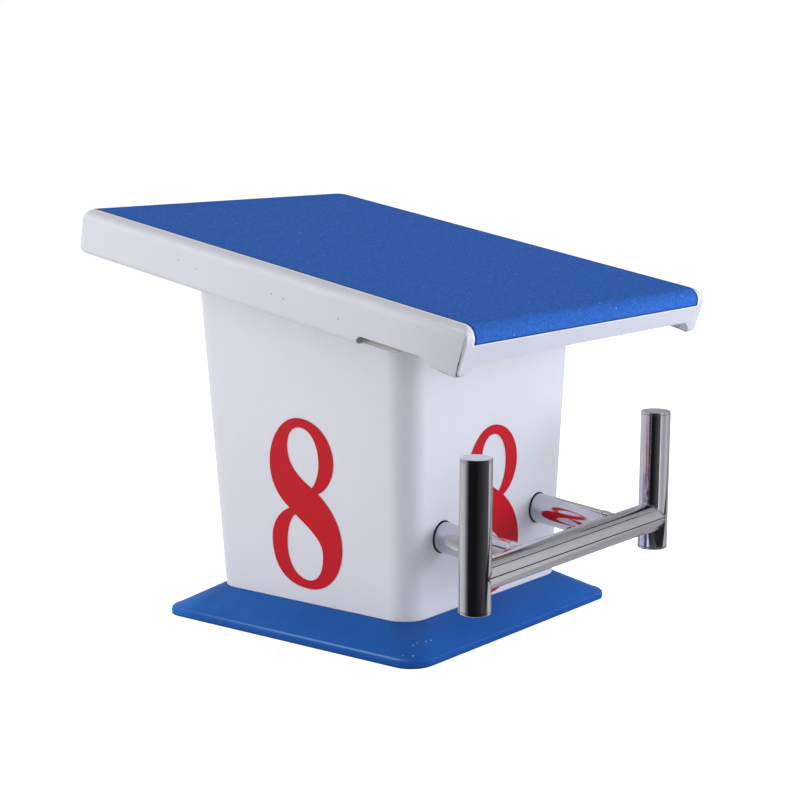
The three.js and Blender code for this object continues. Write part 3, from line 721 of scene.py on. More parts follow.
def saddle_seam(place, axis_shift, axis_sign):
    """The low weld bead where a tube's end meets a tube of the same size, as a closed bead."""
    curve = bpy.data.curves.new("seam", "CURVE")
    curve.dimensions = "3D"
    curve.bevel_depth = BEAD_RADIUS
    curve.bevel_resolution = 2
    curve.resolution_u = 2
    spline = curve.splines.new("POLY")
    spline.points.add(BEAD_POINTS - 1)
    spline.use_cyclic_u = True
    for i, point in enumerate(spline.points):
        angle = 2 * pi * i / BEAD_POINTS
        reach = TUBE_RADIUS + HAIR
        along = axis_shift + axis_sign * reach * abs(sin(angle))
        point.co = (reach * cos(angle), reach * sin(angle), along, 1)
        point.radius = 1 + BEAD_UNEVENNESS * sin(i * 2.6)
    return settle(face_out(mesh_of("seam", curve)), place)


def make_crossbar():
    bar = tube("crossbar", -UPRIGHT_X, UPRIGHT_X, CROSSBAR_PLACE)
    for side in (-1, 1):
        cut(bar, tube_hole(UPRIGHT_CUT, upright_place(side)))
    # Seen along the crossbar's axis, the seam's low points are at the front and the rear
    place = CROSSBAR_PLACE @ turned(RIGHT_ANGLE, "Z")
    seams = [saddle_seam(place, side * UPRIGHT_X, -side) for side in (-1, 1)]
    return join_to(*(shade(piece) for piece in (bar, *seams)))


def make_arm(side):
    end = ARM_TO_WALL + PLATE_BACK / cos(ARM_RISE - DRAFT) + ARM_STUB
    arm = tube(f"arm_{SIDE_NAMES[side]}", 0, end, arm_place(side))
    cut(arm, tube_hole(CROSSBAR_CUT, CROSSBAR_PLACE))
    seam = saddle_seam(arm_place(side), 0, 1)
    return join_to(shade(arm), shade(seam))


def make_upright(side):
    top = UPRIGHT_ABOVE - CAP_THICKNESS - SEAT_GAP
    foot = CAP_THICKNESS + SEAT_GAP - UPRIGHT_BELOW
    return shade(tube(f"upright_{SIDE_NAMES[side]}", foot, top, upright_place(side)))


def make_cap(side, end):
    """A plug with a low chamfered head."""
    plug = TUBE_BORE - SEAT_GAP
    cap = rod(f"cap_{end}_{SIDE_NAMES[side]}", TUBE_RADIUS, 0, CAP_THICKNESS)
    open_edit(cap)
    select_faces(cap, lambda centre, normal: normal.z < -0.9)
    bpy.ops.mesh.inset(thickness=TUBE_RADIUS - plug, depth=0)
    bpy.ops.mesh.extrude_region_move(TRANSFORM_OT_translate={"value": (0, 0, -CAP_SPIGOT)})
    select_sharp(cap, lambda middle: middle.z > CAP_THICKNESS - TINY)
    bevel(CAP_CHAMFER, 4)
    select_sharp(cap, lambda middle: abs(middle.z) < TINY and middle.xy.length > TUBE_RADIUS * 0.95)
    bevel(CAP_EDGE, 2)
    close_edit()
    seat = moved(z=UPRIGHT_ABOVE - CAP_THICKNESS)
    if end == "foot":
        seat = moved(z=CAP_THICKNESS - UPRIGHT_BELOW) @ turned(pi)
    return shade(settle(cap, upright_place(side) @ seat))


def make_seal(side):
    """The ring round the arm, cut parallel to the pedestal's wall."""
    inner = TUBE_RADIUS + SEAT_GAP
    seal = ring(f"seal_{SIDE_NAMES[side]}", inner, inner + SEAL_THICKNESS,
                ARM_TO_WALL - PAD_BACK, ARM_TO_WALL + PAD_BACK, 0, arm_place(side))
    normal = (WALL_PLACE.to_3x3() @ Vector((0, 1, 0))).normalized()
    open_edit(seal)
    front = WALL_PLACE @ Vector((0, -SEAL_PROUD, 0))
    halve(front, normal, False)
    halve(WALL_PLACE @ Vector((0, PEDESTAL_WALL, 0)), normal, True)
    close_edit()
    ease_edges(seal, SEAL_EASE, lambda middle: middle.dot(normal) < front.dot(normal) + TINY * 5, segments=3)
    return shade(seal)


# Fasteners, drawn with the head above zero

def make_washer():
    return ring("washer", BOLT_RADIUS + BOLT_CLEARANCE, WASHER_RADIUS, 0, WASHER_THICKNESS,
                WASHER_EDGE, sides=FASTENER_SIDES, steps=2)


def make_bolt(length):
    """A hexagon head with a chamfered crown, and a shank with a pointed end."""
    head = rod("head", HEAD_RADIUS, 0, HEAD_HEIGHT, sides=6)
    crown = rod("crown", HEAD_RADIUS * CROWN_REACH, -OVERRUN, HEAD_HEIGHT, sides=FASTENER_SIDES)
    open_edit(crown)
    select_sharp(crown, lambda middle: middle.z > HEAD_HEIGHT - TINY)
    bevel(HEAD_RADIUS * CROWN_CUT, 1)
    close_edit()
    crown.matrix_world = Matrix.Diagonal((1, 1, CROWN_SQUASH, 1))
    crown.location.z = HEAD_HEIGHT * CROWN_SQUASH
    combine(head, settle(crown), "INTERSECT")
    shank = rod("shank", BOLT_RADIUS, -length, HEAD_HEIGHT / 2, sides=SMALL_SIDES)
    ease_edges(shank, BOLT_POINT, lambda middle: middle.z < TINY - length, segments=1)
    return combine(head, shank, "UNION")


def place_fasteners():
    insert_top = DECK_THICKNESS + 2 * SEAT_GAP + INSERT_SUNK
    washer_top = FLANGE_BOTTOM + SEAT_GAP
    head_top = washer_top + WASHER_THICKNESS + SEAT_GAP
    through_floor = WASHER_THICKNESS + PEDESTAL_FLOOR + PLINTH_WALL + 4 * SEAT_GAP
    floor = FOOT + PEDESTAL_FLOOR + SEAT_GAP
    plate = PLATE_BACK + SEAT_GAP
    washer_back = plate + WASHER_THICKNESS
    span_x = ARM_X - TUBE_RADIUS - GRIP_BOLT_ASIDE
    span_z = PAD_HALF_HEIGHT - GRIP_BOLT_INSET
    flip = turned(pi)
    lie = turned(-RIGHT_ANGLE)

    washer = make_washer()
    deck_bolt = make_bolt(head_top - insert_top)
    insert = ring("insert", BOLT_RADIUS + SEAT_GAP, INSERT_RADIUS, -CORE_BOTTOM, -insert_top,
                  INSERT_EDGE, sides=FASTENER_SIDES, steps=2)
    floor_bolt = make_bolt(through_floor + FLOOR_BOLT_BITE - SEAT_GAP)
    plate_bolt = make_bolt(washer_back - (PEDESTAL_WALL + SEAT_GAP) - 2 * SEAT_GAP)
    pieces = []

    def put(master, where, node, kind, i, place):
        pieces.append((settle(twin(master, f"{where}_{kind}_{i}"), place), f"{node}_{kind}_{i}"))

    for i, (x, along) in enumerate(platform_bolt_spots(), 1):
        spot = DECK_PLACE @ moved(x, along)
        put(washer, "deck", "platform", "washer", i, spot @ moved(z=-washer_top) @ flip)
        put(deck_bolt, "deck", "platform", "bolt", i, spot @ moved(z=-head_top) @ flip)
        put(insert, "deck", "platform", "insert", i, spot)
    for i, (x, y) in enumerate(plinth_bolt_spots(), 1):
        put(washer, "floor", "plinth", "washer", i, moved(x, y, floor))
        put(floor_bolt, "floor", "plinth", "bolt", i, moved(x, y, floor + WASHER_THICKNESS + SEAT_GAP))
    for i, (sx, sz) in enumerate(CORNERS, 1):
        for master, kind, back in ((washer, "washer", plate), (plate_bolt, "bolt", washer_back + SEAT_GAP)):
            place = WALL_PLACE @ moved(sx * span_x, back, sz * span_z) @ lie
            put(master, "plate", "grip", kind, i, place)
    for master in (washer, deck_bolt, insert, floor_bolt, plate_bolt):
        bpy.data.objects.remove(master)
    for piece, _ in pieces:
        shade(piece)
    return pieces


# Lane number: the figure 8 in shares of its height. A curve is two handles and its end, where the next
# one starts, and the last ends where the first starts.

FIGURE = (
    (0.175, 0.6, 0.227, 0.69, 0.227, 0.765),
    (0.227, 0.895, 0.12, 1, -0.02, 1),
    (-0.15, 1, -0.258, 0.86, -0.258, 0.71),
    (-0.258, 0.61, -0.212, 0.525, -0.119, 0.466),
    (-0.21, 0.43, -0.266, 0.35, -0.266, 0.262),
    (-0.266, 0.095, -0.175, 0, 0.007, 0),
    (0.16, 0, 0.266, 0.13, 0.266, 0.28),
    (0.266, 0.4, 0.2, 0.5, 0.101, 0.572),
)
UPPER_EYE = (
    (0.095, 0.64, 0.118, 0.7, 0.118, 0.765),
    (0.118, 0.86, 0.07, 0.946, -0.015, 0.946),
    (-0.08, 0.946, -0.118, 0.89, -0.118, 0.82),
    (-0.118, 0.72, -0.048, 0.656, 0.058, 0.601),
)
LOWER_EYE = (
    (0.03, 0.36, 0.12, 0.3, 0.12, 0.225),
    (0.12, 0.11, 0.07, 0.051, 0, 0.051),
    (-0.09, 0.051, -0.152, 0.13, -0.152, 0.24),
    (-0.152, 0.33, -0.12, 0.41, -0.078, 0.432),
)


def figure_outline(curves):
    """The curves' ends, with the handles on both sides of them."""
    return [
        tuple((x * NUMBER_HEIGHT, y * NUMBER_HEIGHT) for x, y in (last[2:4], last[4:], curve[:2]))
        for last, curve in zip((curves[-1], *curves), curves)
    ]


# Each number's name, heading, distance from the pedestal's middle, shift aside and lift
NUMBER_SIDES = (
    ("front", 0, PEDESTAL_LENGTH / 2, 0, 0.0043),
    ("left", -90, PEDESTAL_WIDTH / 2, 0.002, 0.0195),
    ("right", 90, PEDESTAL_WIDTH / 2, -0.002, 0.0195),
    ("rear", 180, PEDESTAL_LENGTH / 2, 0, 0.0195),
)


def make_numbers():
    made = []
    outlines = [figure_outline(curves) for curves in (FIGURE, UPPER_EYE, LOWER_EYE)]
    for name, heading, reach, shift, lift in NUMBER_SIDES:
        place = moved(0, -SET_FORWARD, FOOT) @ turned(radians(heading), "Z") \
            @ moved(y=-reach) @ turned(RIGHT_ANGLE + DRAFT) @ moved(shift, lift, SEAT_GAP)
        number = flat_form(f"number_{name}", outlines, NUMBER_THICKNESS, place, resolution=20)
        made.append((shade(number), f"lane_number_{name}"))
    return made


# Finishes

class Value:
    """One output in a node tree; sums and comparisons with it add the nodes for them."""

    def __init__(self, nodes, socket):
        self.nodes = nodes
        self.socket = socket

    def with_other(self, operation, other=0):
        return self.nodes.math(operation, self, other)

    def __rsub__(self, other):
        return self.nodes.math("SUBTRACT", other, self)

    __add__ = partialmethod(with_other, "ADD")
    __sub__ = partialmethod(with_other, "SUBTRACT")
    __mul__ = partialmethod(with_other, "MULTIPLY")
    __or__ = partialmethod(with_other, "MAXIMUM")
    __gt__ = partialmethod(with_other, "GREATER_THAN")
    __lt__ = partialmethod(with_other, "LESS_THAN")
    __abs__ = partialmethod(with_other, "ABSOLUTE")

    def between(self, low, high, start=0.0, end=1.0):
        """Goes from start at low to end at high."""
        return self.nodes.value("MapRange", "Result", {
            "Value": self, "From Min": low, "From Max": high, "To Min": start, "To Max": end,
        })


class Nodes:
    """A node tree and short calls for what goes into it."""

    def __init__(self, tree):
        self.tree = tree

    def node(self, kind, inputs=(), **settings):
        made = self.tree.nodes.new(f"ShaderNode{kind}")
        for name, setting in settings.items():
            setattr(made, name, setting)
        for name, given in dict(inputs).items():
            if isinstance(given, Value):
                self.tree.links.new(given.socket, made.inputs[name])
            else:
                made.inputs[name].default_value = given
        return made

    def value(self, kind, output, inputs=(), **settings):
        return Value(self, self.node(kind, inputs, **settings).outputs[output])

    def math(self, operation, a, b):
        return self.value("Math", 0, {0: a, 1: b}, operation=operation)

    def seen(self):
        """1 for the rays that are looked along, straight, mirrored or through glass; 0 for light."""
        rays = self.node("LightPath").outputs
        camera, glossy, through = (
            Value(self, rays[f"Is {kind} Ray"]) for kind in ("Camera", "Glossy", "Transmission")
        )
        return camera | glossy | through


class Paint(Nodes):
    """A material, whose colour is laid on coat by coat."""

    def __init__(self, name, **sockets):
        self.material = bpy.data.materials.new(name)
        self.material.use_nodes = True
        super().__init__(self.material.node_tree)
        self.shader = self.tree.nodes["Principled BSDF"]
        for socket, value in sockets.items():
            self.shader.inputs[socket.replace("_", " ")].default_value = value
        self.place = self.value("TexCoord", "Object")
        self.tint = None

    def axes(self, vector=None):
        outputs = self.node("SeparateXYZ", {0: vector or self.place}).outputs
        return [Value(self, output) for output in outputs]

    def mapped(self, scale=(1, 1, 1), turn=(0, 0, 0)):
        inputs = {"Vector": self.place, "Scale": scale, "Rotation": turn}
        return self.value("Mapping", "Vector", inputs)

    def noise(self, scale, detail=3, roughness=0.5, vector=None, distortion=0.0):
        return self.value("TexNoise", "Fac", {
            "Vector": vector or self.place, "Scale": scale, "Detail": detail,
            "Roughness": roughness, "Distortion": distortion,
        })

    def cells(self, scale, output="Distance"):
        return self.value("TexVoronoi", output, {"Vector": self.place, "Scale": scale})

    def mix(self, share, a, b):
        a, b = ((*colour, 1) if isinstance(colour, tuple) else colour for colour in (a, b))
        return self.value("Mix", 2, {0: share, 6: a, 7: b}, data_type="RGBA")

    def ground(self, share, a, b):
        """The first coat, between two colours."""
        self.tint = self.mix(share, a, b)

    def coat(self, share, colour):
        self.tint = self.mix(share, self.tint, colour)

    def bump(self, height, strength, distance, below=None):
        inputs = {"Height": height, "Strength": strength, "Distance": distance}
        if below is not None:
            inputs["Normal"] = below
        return self.value("Bump", "Normal", inputs)

    def flakes(self, scale, size, rarity):
        """1 inside a few cells' middles, 0 elsewhere."""
        chance = self.cells(scale, "Color").between(0, 1)
        return (self.cells(scale) < size) * (chance > rarity)

    def spot(self, axes, centre, wide, narrow, share, colour):
        """A round spot: clear outside its wide radius, full inside its narrow one."""
        here = self.value("CombineXYZ", 0, dict(enumerate(axes)))
        away = self.value("VectorMath", "Value", {0: here, 1: centre}, operation="DISTANCE")
        self.coat(away.between(wide, narrow, 0, share), colour)

    def along_deck(self):
        """Distances across the platform, along its slope from the front edge, and up from the deck."""
        x, y, z = self.axes()
        back, up = y + FRONT_REACH, z - FRONT_HEIGHT
        rise, run = sin(SLOPE), cos(SLOPE)
        return x, back * run + up * rise, up * run - back * rise

    def sheet_edge(self, jitter):
        """1 along the blue surface's border, 0 inside it."""
        across, along, above = self.along_deck()
        beyond_side = abs(across) - (DECK_HALF - SHOULDER_WIDTH)
        beyond_rear = along - (PLATFORM_LENGTH - SHEET_REAR_MARGIN)
        beyond = ((beyond_side | beyond_rear) + 0.0020) | (-SHEET_DROP - above)
        return (beyond + (jitter - 0.5) * 0.0016).between(-0.0022, -0.0008, 0, 0.8)

    def set(self, **links):
        for socket, value in links.items():
            self.tree.links.new(value.socket, self.shader.inputs[socket.replace("_", " ")])
        return self.material

    def finish(self, roughness, normal):
        return self.set(Base_Color=self.tint, Roughness=roughness, Normal=normal)


# Pinholes in the left skirt: along the platform, and below its deck
PINHOLES = ((0.2886, 0.0306), (0.2698, 0.0320), (0.4465, 0.0262), (0.4155, 0.0300), (0.1840, 0.0345))


def gelcoat_white(platform=False):
    name = "platform" if platform else "white"
    paint = Paint(f"{name}_gelcoat_finish", Specular_IOR_Level=0.5, Coat_Weight=0.25, Coat_Roughness=0.12)
    cloud = paint.noise(40, 4, 0.6)
    # The platform's copy of this white is 10% darker than the pedestal's: painted shade
    depth = 0.90 if platform else 1.0
    pale = (tuple(c * depth for c in colour) for colour in ((0.70, 0.70, 0.76), (0.75, 0.75, 0.81)))
    paint.ground(paint.noise(5, 2), *pale)
    paint.coat(cloud.between(0.45, 0.8, 0, 0.10), (0.60, 0.59, 0.63))
    paint.coat(paint.flakes(55, 0.030, 0.72) * 0.55, (0.18, 0.17, 0.18))
    if platform:
        mark_platform(paint)
    wave = paint.bump(paint.noise(14, 2), 0.10, 0.004)
    peel = paint.bump(paint.noise(420, 2), 0.05, 0.0004, wave)
    return paint.finish(cloud.between(0.3, 0.75, 0.30, 0.40), peel)


def mark_platform(paint):
    """The front lip in painted shade, painted highlights along the shoulder and beside the blue surface,
    painted shade at the skirts' front ends, the legs' lower edge and the notch's end, the mould's parting
    line and a few pinholes.
    """
    across, along, above = paint.along_deck()
    depth = above * -1
    aside = abs(across)
    border = DECK_HALF - SHOULDER_WIDTH
    wander = paint.noise(11, 3, 0.6)

    # Painted shade: the front lip darker, unevenly, and less so towards the legs
    face = along - depth * tan(FRONT_RAKE)
    lip = face.between(0.004, 0.001) * depth.between(0.016, 0.021)
    lip = lip * aside.between(DECK_HALF - 0.008, DECK_HALF - 0.030, 0.35, 1)
    paint.coat(lip * wander.between(0.3, 0.7, 0.75, 1), (0.60, 0.61, 0.69))

    # Painted highlight: a pale wavy line along the skirts' shoulder, 7 to 9 mm below the deck
    crest_highlight = abs(depth - wander.between(0.3, 0.7, 0.0070, 0.0092)).between(0.0058, 0.0002, 0, 0.42)
    paint.coat(crest_highlight * (aside > border), (0.93, 0.93, 0.98))
    # Painted highlight: a pale line on the shoulder beside the blue surface's sides, and one just below its
    # lower front edge
    rim_highlight = aside.between(border + 0.0034, border + 0.0022, 0, 0.75) * (depth < SHEET_DROP)
    under = abs(depth - (SHEET_DROP + 0.0006)).between(0.0012, 0.0006, 0, 0.75)
    paint.coat(rim_highlight | under * (aside < border + 0.002), (0.97, 0.97, 1.0))
    # Painted shade: the skirts' sides darker towards their front ends
    paint.coat(along.between(0.110, 0.012, 0, 0.34) * (aside > DECK_HALF - 0.002), (0.40, 0.39, 0.42))

    seam = along - depth.between(0.0027, 0.0520, 0.0044, 0.0105)
    ragged = abs(seam) + paint.noise(240, 2).between(0.3, 0.7, -0.0003, 0.0003)
    broken = paint.noise(150, 2).between(0.35, 0.5, 0.35, 1) * depth.between(0.006, 0.030, 0.1, 1)
    seam = ragged.between(0.0008, 0.0003) * broken * (aside > DECK_HALF - 0.0070)
    # Painted shade: a dark line along the legs' lower edge ahead of the notch, in the parting line's colour
    lifted = depth - along.between(NOTCH_FRONT, LEG_TIP, 0, LEG_DROP)
    foot = lifted.between(SKIRT_DEPTH - 0.0024, SKIRT_DEPTH - 0.0012, 0, 0.6)
    paint.coat(seam | foot * along.between(NOTCH_FRONT, 0.030), (0.055, 0.050, 0.052))

    # Painted shade: dark on the end face at the notch's rear
    notch_end_shade = along.between(NOTCH_REAR - 0.010, NOTCH_REAR - 0.006, 0, 0.75) * (along < NOTCH_REAR + 0.001)
    inside = (aside < DECK_HALF - 0.0011) * (depth > 0.045)
    paint.coat(notch_end_shade * inside, (0.13, 0.125, 0.12))
    for hole_along, hole_down in PINHOLES:
        centre = (-DECK_HALF, hole_along, hole_down)
        paint.spot((across, along, depth), centre, 0.0011, 0.0005, 0.8, (0.06, 0.055, 0.06))


# Paler specks near the plinth's corner: place and size
PLINTH_SPECKS = (
    (-0.1813, -0.1841, 0.0011), (-0.1743, -0.1847, 0.0008), (-0.1633, -0.1896, 0.0012),
    (-0.1549, -0.1907, 0.0011), (-0.1949, -0.1949, 0.0013), (-0.2014, -0.1849, 0.0008),
)
DUST = (0.60, 0.68, 0.80)


def gelcoat_blue():
    paint = Paint("blue_gelcoat_finish", Specular_IOR_Level=0.06)
    swirl = paint.noise(60, 5, 0.65, distortion=0.6)
    x, y, height = paint.axes()
    paint.ground(paint.noise(9, 3, 0.6), (0.014, 0.105, 0.41), (0.021, 0.13, 0.48))
    paint.coat(swirl.between(0.5, 0.85, 0, 0.25), (0.035, 0.165, 0.54))
    # Painted shade: the plinth's low side darker than its top
    paint.coat(height.between(0.0078, 0.0062, 0, 0.45), (0.006, 0.055, 0.26))
    # Painted highlight along the plinth's rounded upper edge, strongest on the left side, fading at the near
    # corner
    edge_highlight = abs(height - 0.0092).between(0.0008, 0.0002) * y.between(0.16, -0.02, 0.15, 1)
    edge_highlight = edge_highlight * y.between(-0.198, -0.176) * x.between(-0.185, -0.195, 0.12, 1)
    paint.coat(edge_highlight * 0.8, (0.22, 0.40, 0.75))
    # Painted reflection: lighter clouds over the plinth's rear half, broken up by the swirl
    paint.coat(y.between(-0.02, 0.20, 0, 0.5) * swirl.between(0.35, 0.7), (0.040, 0.170, 0.50))
    # Painted light: a brighter blue towards the plinth's rear edge
    paint.coat(y.between(0.150, 0.178, 0, 0.4), (0.018, 0.22, 0.76))
    # Painted shade: a dark line along the plinth's bottom edge, where it meets the floor
    paint.coat(height.between(0.0022, 0.0008, 0, 0.7), (0.004, 0.018, 0.075))
    paint.coat(paint.flakes(95, 0.055, 0.80) * (paint.noise(12, 1) > 0.55) * 0.8, DUST)
    for speck_x, speck_y, size in PLINTH_SPECKS:
        paint.spot((x, y), (speck_x, speck_y, 0), size, size * 0.5, 0.75, DUST)
    wave = paint.bump(paint.noise(18, 2), 0.10, 0.003)
    peel = paint.bump(paint.noise(380, 2), 0.06, 0.0004, wave)
    return paint.finish(swirl.between(0.3, 0.75, 0.34, 0.48), peel)


def grit_blue():
    """Quartz grit in blue resin: coarse grains, finer ones between them, bright flakes, a darker border."""
    paint = Paint("blue_grit_finish", Specular_IOR_Level=0.03)
    grain = paint.cells(620)
    fine = paint.noise(1500, 2, 0.7)
    clump = paint.noise(330, 3, 0.65)
    small_flake = paint.flakes(300, 0.20, 0.84)
    paint.ground(paint.noise(30, 4, 0.6), (0.031, 0.134, 0.51), (0.043, 0.165, 0.60))
    dark = paint.mix(0.34, paint.tint, (0.008, 0.050, 0.26))
    paint.ground(clump.between(0.40, 0.64), dark, paint.mix(0.16, paint.tint, (0.10, 0.33, 0.95)))
    paint.coat(fine.between(0.35, 0.7, 0, 0.35), (0.018, 0.085, 0.37))
    paint.coat(grain.between(0.55, 0.15, 0, 0.30), (0.06, 0.22, 0.72))
    paint.coat(small_flake * 0.45, (0.35, 0.55, 0.90))
    paint.coat(paint.flakes(125, 0.10, 0.80) * 0.75, (0.62, 0.76, 0.95))
    paint.coat(paint.sheet_edge(paint.noise(160, 2)), (0.006, 0.030, 0.17))
    rough = paint.bump(fine, 0.45, 0.0005, paint.bump(grain, 0.55, 0.0010))
    return paint.finish(small_flake.between(0, 1, 0.72, 0.35), rough)


def laminate_raw():
    """Chopped glass strands under thin resin."""
    paint = Paint("raw_laminate_finish", Specular_IOR_Level=0.4)
    across = paint.noise(170, 3, 0.6, paint.mapped((1, 4, 1), (0.3, 0.5, 0.7)))
    along = paint.noise(170, 3, 0.6, paint.mapped((4, 1, 1), (0.9, 0.2, 0.4)))
    strands = across | along
    paint.ground(strands.between(0.45, 0.75), (0.40, 0.39, 0.38), (0.50, 0.49, 0.48))
    paint.coat(paint.noise(70, 3).between(0.5, 0.8, 0, 0.35), (0.30, 0.29, 0.26))
    # Painted shadow: darker towards the top of the stiffeners, where the skirt shades them
    above = paint.along_deck()[2]
    paint.coat(above.between(-0.0535, -0.0485, 0, 0.78), (0.10, 0.10, 0.095))
    return paint.finish(strands.between(0.3, 0.8, 0.75, 0.5), paint.bump(strands, 0.5, 0.0012))


def ply_wood(turn):
    """Veneers stacked through the board, with grain along them."""
    paint = Paint("ply_core_finish", Specular_IOR_Level=0.3)
    height = paint.axes(paint.mapped(turn=turn))[2]
    layer = paint.math("PINGPONG", height, 0.0015)
    grain = paint.noise(60, 5, 0.65, paint.mapped((1, 14, 1), turn))
    paint.ground(layer.between(0.0002, 0.0013), (0.36, 0.22, 0.11), (0.58, 0.42, 0.24))
    paint.coat(grain.between(0.4, 0.7, 0, 0.5), (0.30, 0.17, 0.08))
    return paint.finish(grain.between(0.3, 0.7, 0.6, 0.8), paint.bump(grain, 0.3, 0.0006))


def steel_polished():
    paint = Paint("polished_steel_finish", Metallic=1.0)
    smear = paint.noise(35, 4, 0.6)
    hairs = paint.noise(900, 2, 0.6, paint.mapped((1, 1, 0.04)))
    paint.ground(smear, (0.60, 0.595, 0.655), (0.68, 0.67, 0.73))
    wave = paint.bump(paint.noise(22, 2), 0.04, 0.002)
    roughness = smear.between(0.35, 0.75, 0.05, 0.11) + hairs.between(0.4, 0.8, 0, 0.05)
    return paint.finish(roughness, paint.bump(hairs, 0.03, 0.0002, wave))


def steel_fastener():
    paint = Paint("fastener_steel_finish", Metallic=1.0)
    cloud = paint.noise(220, 4, 0.65)
    paint.ground(cloud, (0.42, 0.42, 0.43), (0.60, 0.60, 0.60))
    return paint.finish(cloud.between(0.3, 0.75, 0.28, 0.5), paint.bump(paint.noise(700, 2), 0.12, 0.0002))


def rubber_black():
    paint = Paint("black_rubber_finish", Specular_IOR_Level=0.4)
    cloud = paint.noise(260, 4, 0.6)
    paint.ground(cloud, (0.014, 0.014, 0.015), (0.035, 0.034, 0.035))
    return paint.finish(cloud.between(0.3, 0.7, 0.55, 0.75), paint.bump(cloud, 0.15, 0.0003))


def vinyl_red():
    paint = Paint("red_vinyl_finish", Specular_IOR_Level=0.10)
    cloud = paint.noise(30, 4, 0.6)
    paint.ground(cloud, (0.52, 0.009, 0.018), (0.58, 0.012, 0.022))
    return paint.finish(cloud.between(0.3, 0.7, 0.38, 0.48), paint.bump(paint.noise(120, 3), 0.05, 0.0003))


# The studio

FLOOR_DROP = 0.0004
FLOOR_GLOW = 0.72


def make_floor():
    """White paper that the camera and polished metal see brighter than it is lit."""
    bpy.ops.mesh.primitive_circle_add(vertices=64, radius=14, fill_type="NGON", location=(0, 0, -FLOOR_DROP))
    floor = bpy.context.object
    floor.name = "studio_floor"
    paper = Paint("floor_paper", Base_Color=(0.80, 0.80, 0.80, 1), Roughness=0.9, Specular_IOR_Level=0.0,
                  Emission_Color=(1, 1, 1, 1))
    floor.data.materials.append(paper.set(Emission_Strength=paper.seen() * FLOOR_GLOW))


def make_world():
    """Pure white where it is looked at, and a dimmer, cooler light."""
    world = bpy.data.worlds.new("studio_air")
    bpy.context.scene.world = world
    world.use_nodes = True
    world.node_tree.nodes.clear()
    air = Nodes(world.node_tree)
    lit = air.value("Background", 0, {"Color": (0.93, 0.95, 1.0, 1), "Strength": 0.46})
    white = air.value("Background", 0, {"Color": (1, 1, 1, 1), "Strength": 1.0})
    mixed = air.value("MixShader", 0, {"Fac": air.seen(), 1: lit, 2: white})
    air.node("OutputWorld", {"Surface": mixed})


def make_lamp(name, location, target, size, power, colour=(1, 1, 1)):
    lamp = bpy.data.lights.new(name, "AREA")
    lamp.shape = "RECTANGLE"
    lamp.size, lamp.size_y = size
    lamp.energy = power
    lamp.color = colour
    back = (Vector(location) - Vector(target)).normalized()
    holder = add_object(name, lamp)
    holder.matrix_world = moved(*location) @ back.to_track_quat("Z", "Y").to_matrix().to_4x4()
    holder.visible_glossy = False


# Where the ring of standing flats turns, and how bright they look there
FLATS = (
    (0.085, -0.60, 0.11), (-0.30, -0.66, 0.035), (-0.545, -0.57, 0.008), (-0.64, -0.20, 0.011),
    (-0.72, 0.0, 0.20), (-0.85, 0.35, 0.55), (-0.95, 0.9, 0.62), (0.2, 1.6, 0.75),
    (1.2, 1.2, 0.65), (1.3, 0.4, 0.40), (1.25, 0.1, 0.30), (1.20, -0.70, 0.45),
    (0.85, -1.05, 0.70), (0.30, -0.95, 0.44), (0.10, -0.62, 0.65),
)
FLAT_HEIGHT = 1.5
FAN_HOLE = 0.03  # share of the way from the crossbar's left end to the flats that their floor leaves open
# Dark seams: two ends with their brightness, lowest and highest level
SEAMS = (
    ((0.32, -0.90, 0.02), (1.15, -0.66, 0.02), 0.63, 0.72),
    ((-0.10, -0.56, 0.02), (1.10, -0.56, 0.02), 0.001, 0.050),
)


def make_flats():
    """The unlit side of the studio, as standing flats that only show in reflections."""
    mesh = bpy.data.meshes.new("flats")
    shape = bmesh.new()
    levels = []

    def sheet(*corners):
        shape.faces.new([shape.verts.new(corner[:3]) for corner in corners])
        levels.extend(corner[3] for corner in corners)

    def wall(start, end, low, high):
        (ax, ay, a), (bx, by, b) = start, end
        sheet((ax, ay, low, a), (bx, by, low, b), (bx, by, high, b), (ax, ay, high, a))

    for start, end in zip(FLATS, FLATS[1:]):
        wall(start, end, 0, FLAT_HEIGHT)
    for seam in SEAMS:
        wall(*seam)
    for start, end in zip(FLATS, FLATS[1:]):
        far = [(x, y, FLOOR_DROP, level) for x, y, level in (start, end)]
        near = [(FAN_HOLE * (x + UPRIGHT_X) - UPRIGHT_X, FAN_HOLE * (y + GRIP_REACH) - GRIP_REACH, z, level)
                for x, y, z, level in reversed(far)]
        sheet(*far, *near)
    shape.to_mesh(mesh)
    shape.free()
    glow = mesh.color_attributes.new("glow", "FLOAT_COLOR", "POINT")
    for point, level in zip(glow.data, levels):
        point.color = (level, level, level, 1)
    flats = add_object("flats", mesh)
    paint = Paint("flats", Base_Color=(0, 0, 0, 1), Specular_IOR_Level=0.0, Emission_Strength=1.0)
    level = paint.value("VertexColor", "Color", layer_name="glow")
    mesh.materials.append(paint.set(Emission_Color=level))
    for kind in ("camera", "diffuse", "shadow", "transmission"):
        setattr(flats, f"visible_{kind}", False)


CAMERA_PLACE = (-1.7756, -1.4571, 0.6434)
CAMERA_TURNS = (-51.05, 9.13, -0.63)
CAMERA_FOCUS = 1778 / 800  # focal length as a share of the picture's width
SENSOR_WIDTH = 36


def make_camera():
    yaw, pitch, roll = (radians(turn) for turn in CAMERA_TURNS)
    camera = bpy.data.cameras.new("camera")
    camera.sensor_width = SENSOR_WIDTH
    camera.lens = SENSOR_WIDTH * CAMERA_FOCUS
    holder = add_object("camera", camera)
    aim = turned(yaw, "Z") @ turned(RIGHT_ANGLE - pitch) @ turned(roll, "Z")
    holder.matrix_world = moved(*CAMERA_PLACE) @ aim
    bpy.context.scene.camera = holder


# Putting the block together

def dress(piece, slot, *nodes, material=None):
    piece.data.materials.clear()
    piece.data.materials.append(material or FINISHES[slot])
    for polygon in piece.data.polygons:
        polygon.material_index = 0
    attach(piece, "root")
    if nodes:
        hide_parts(*nodes)


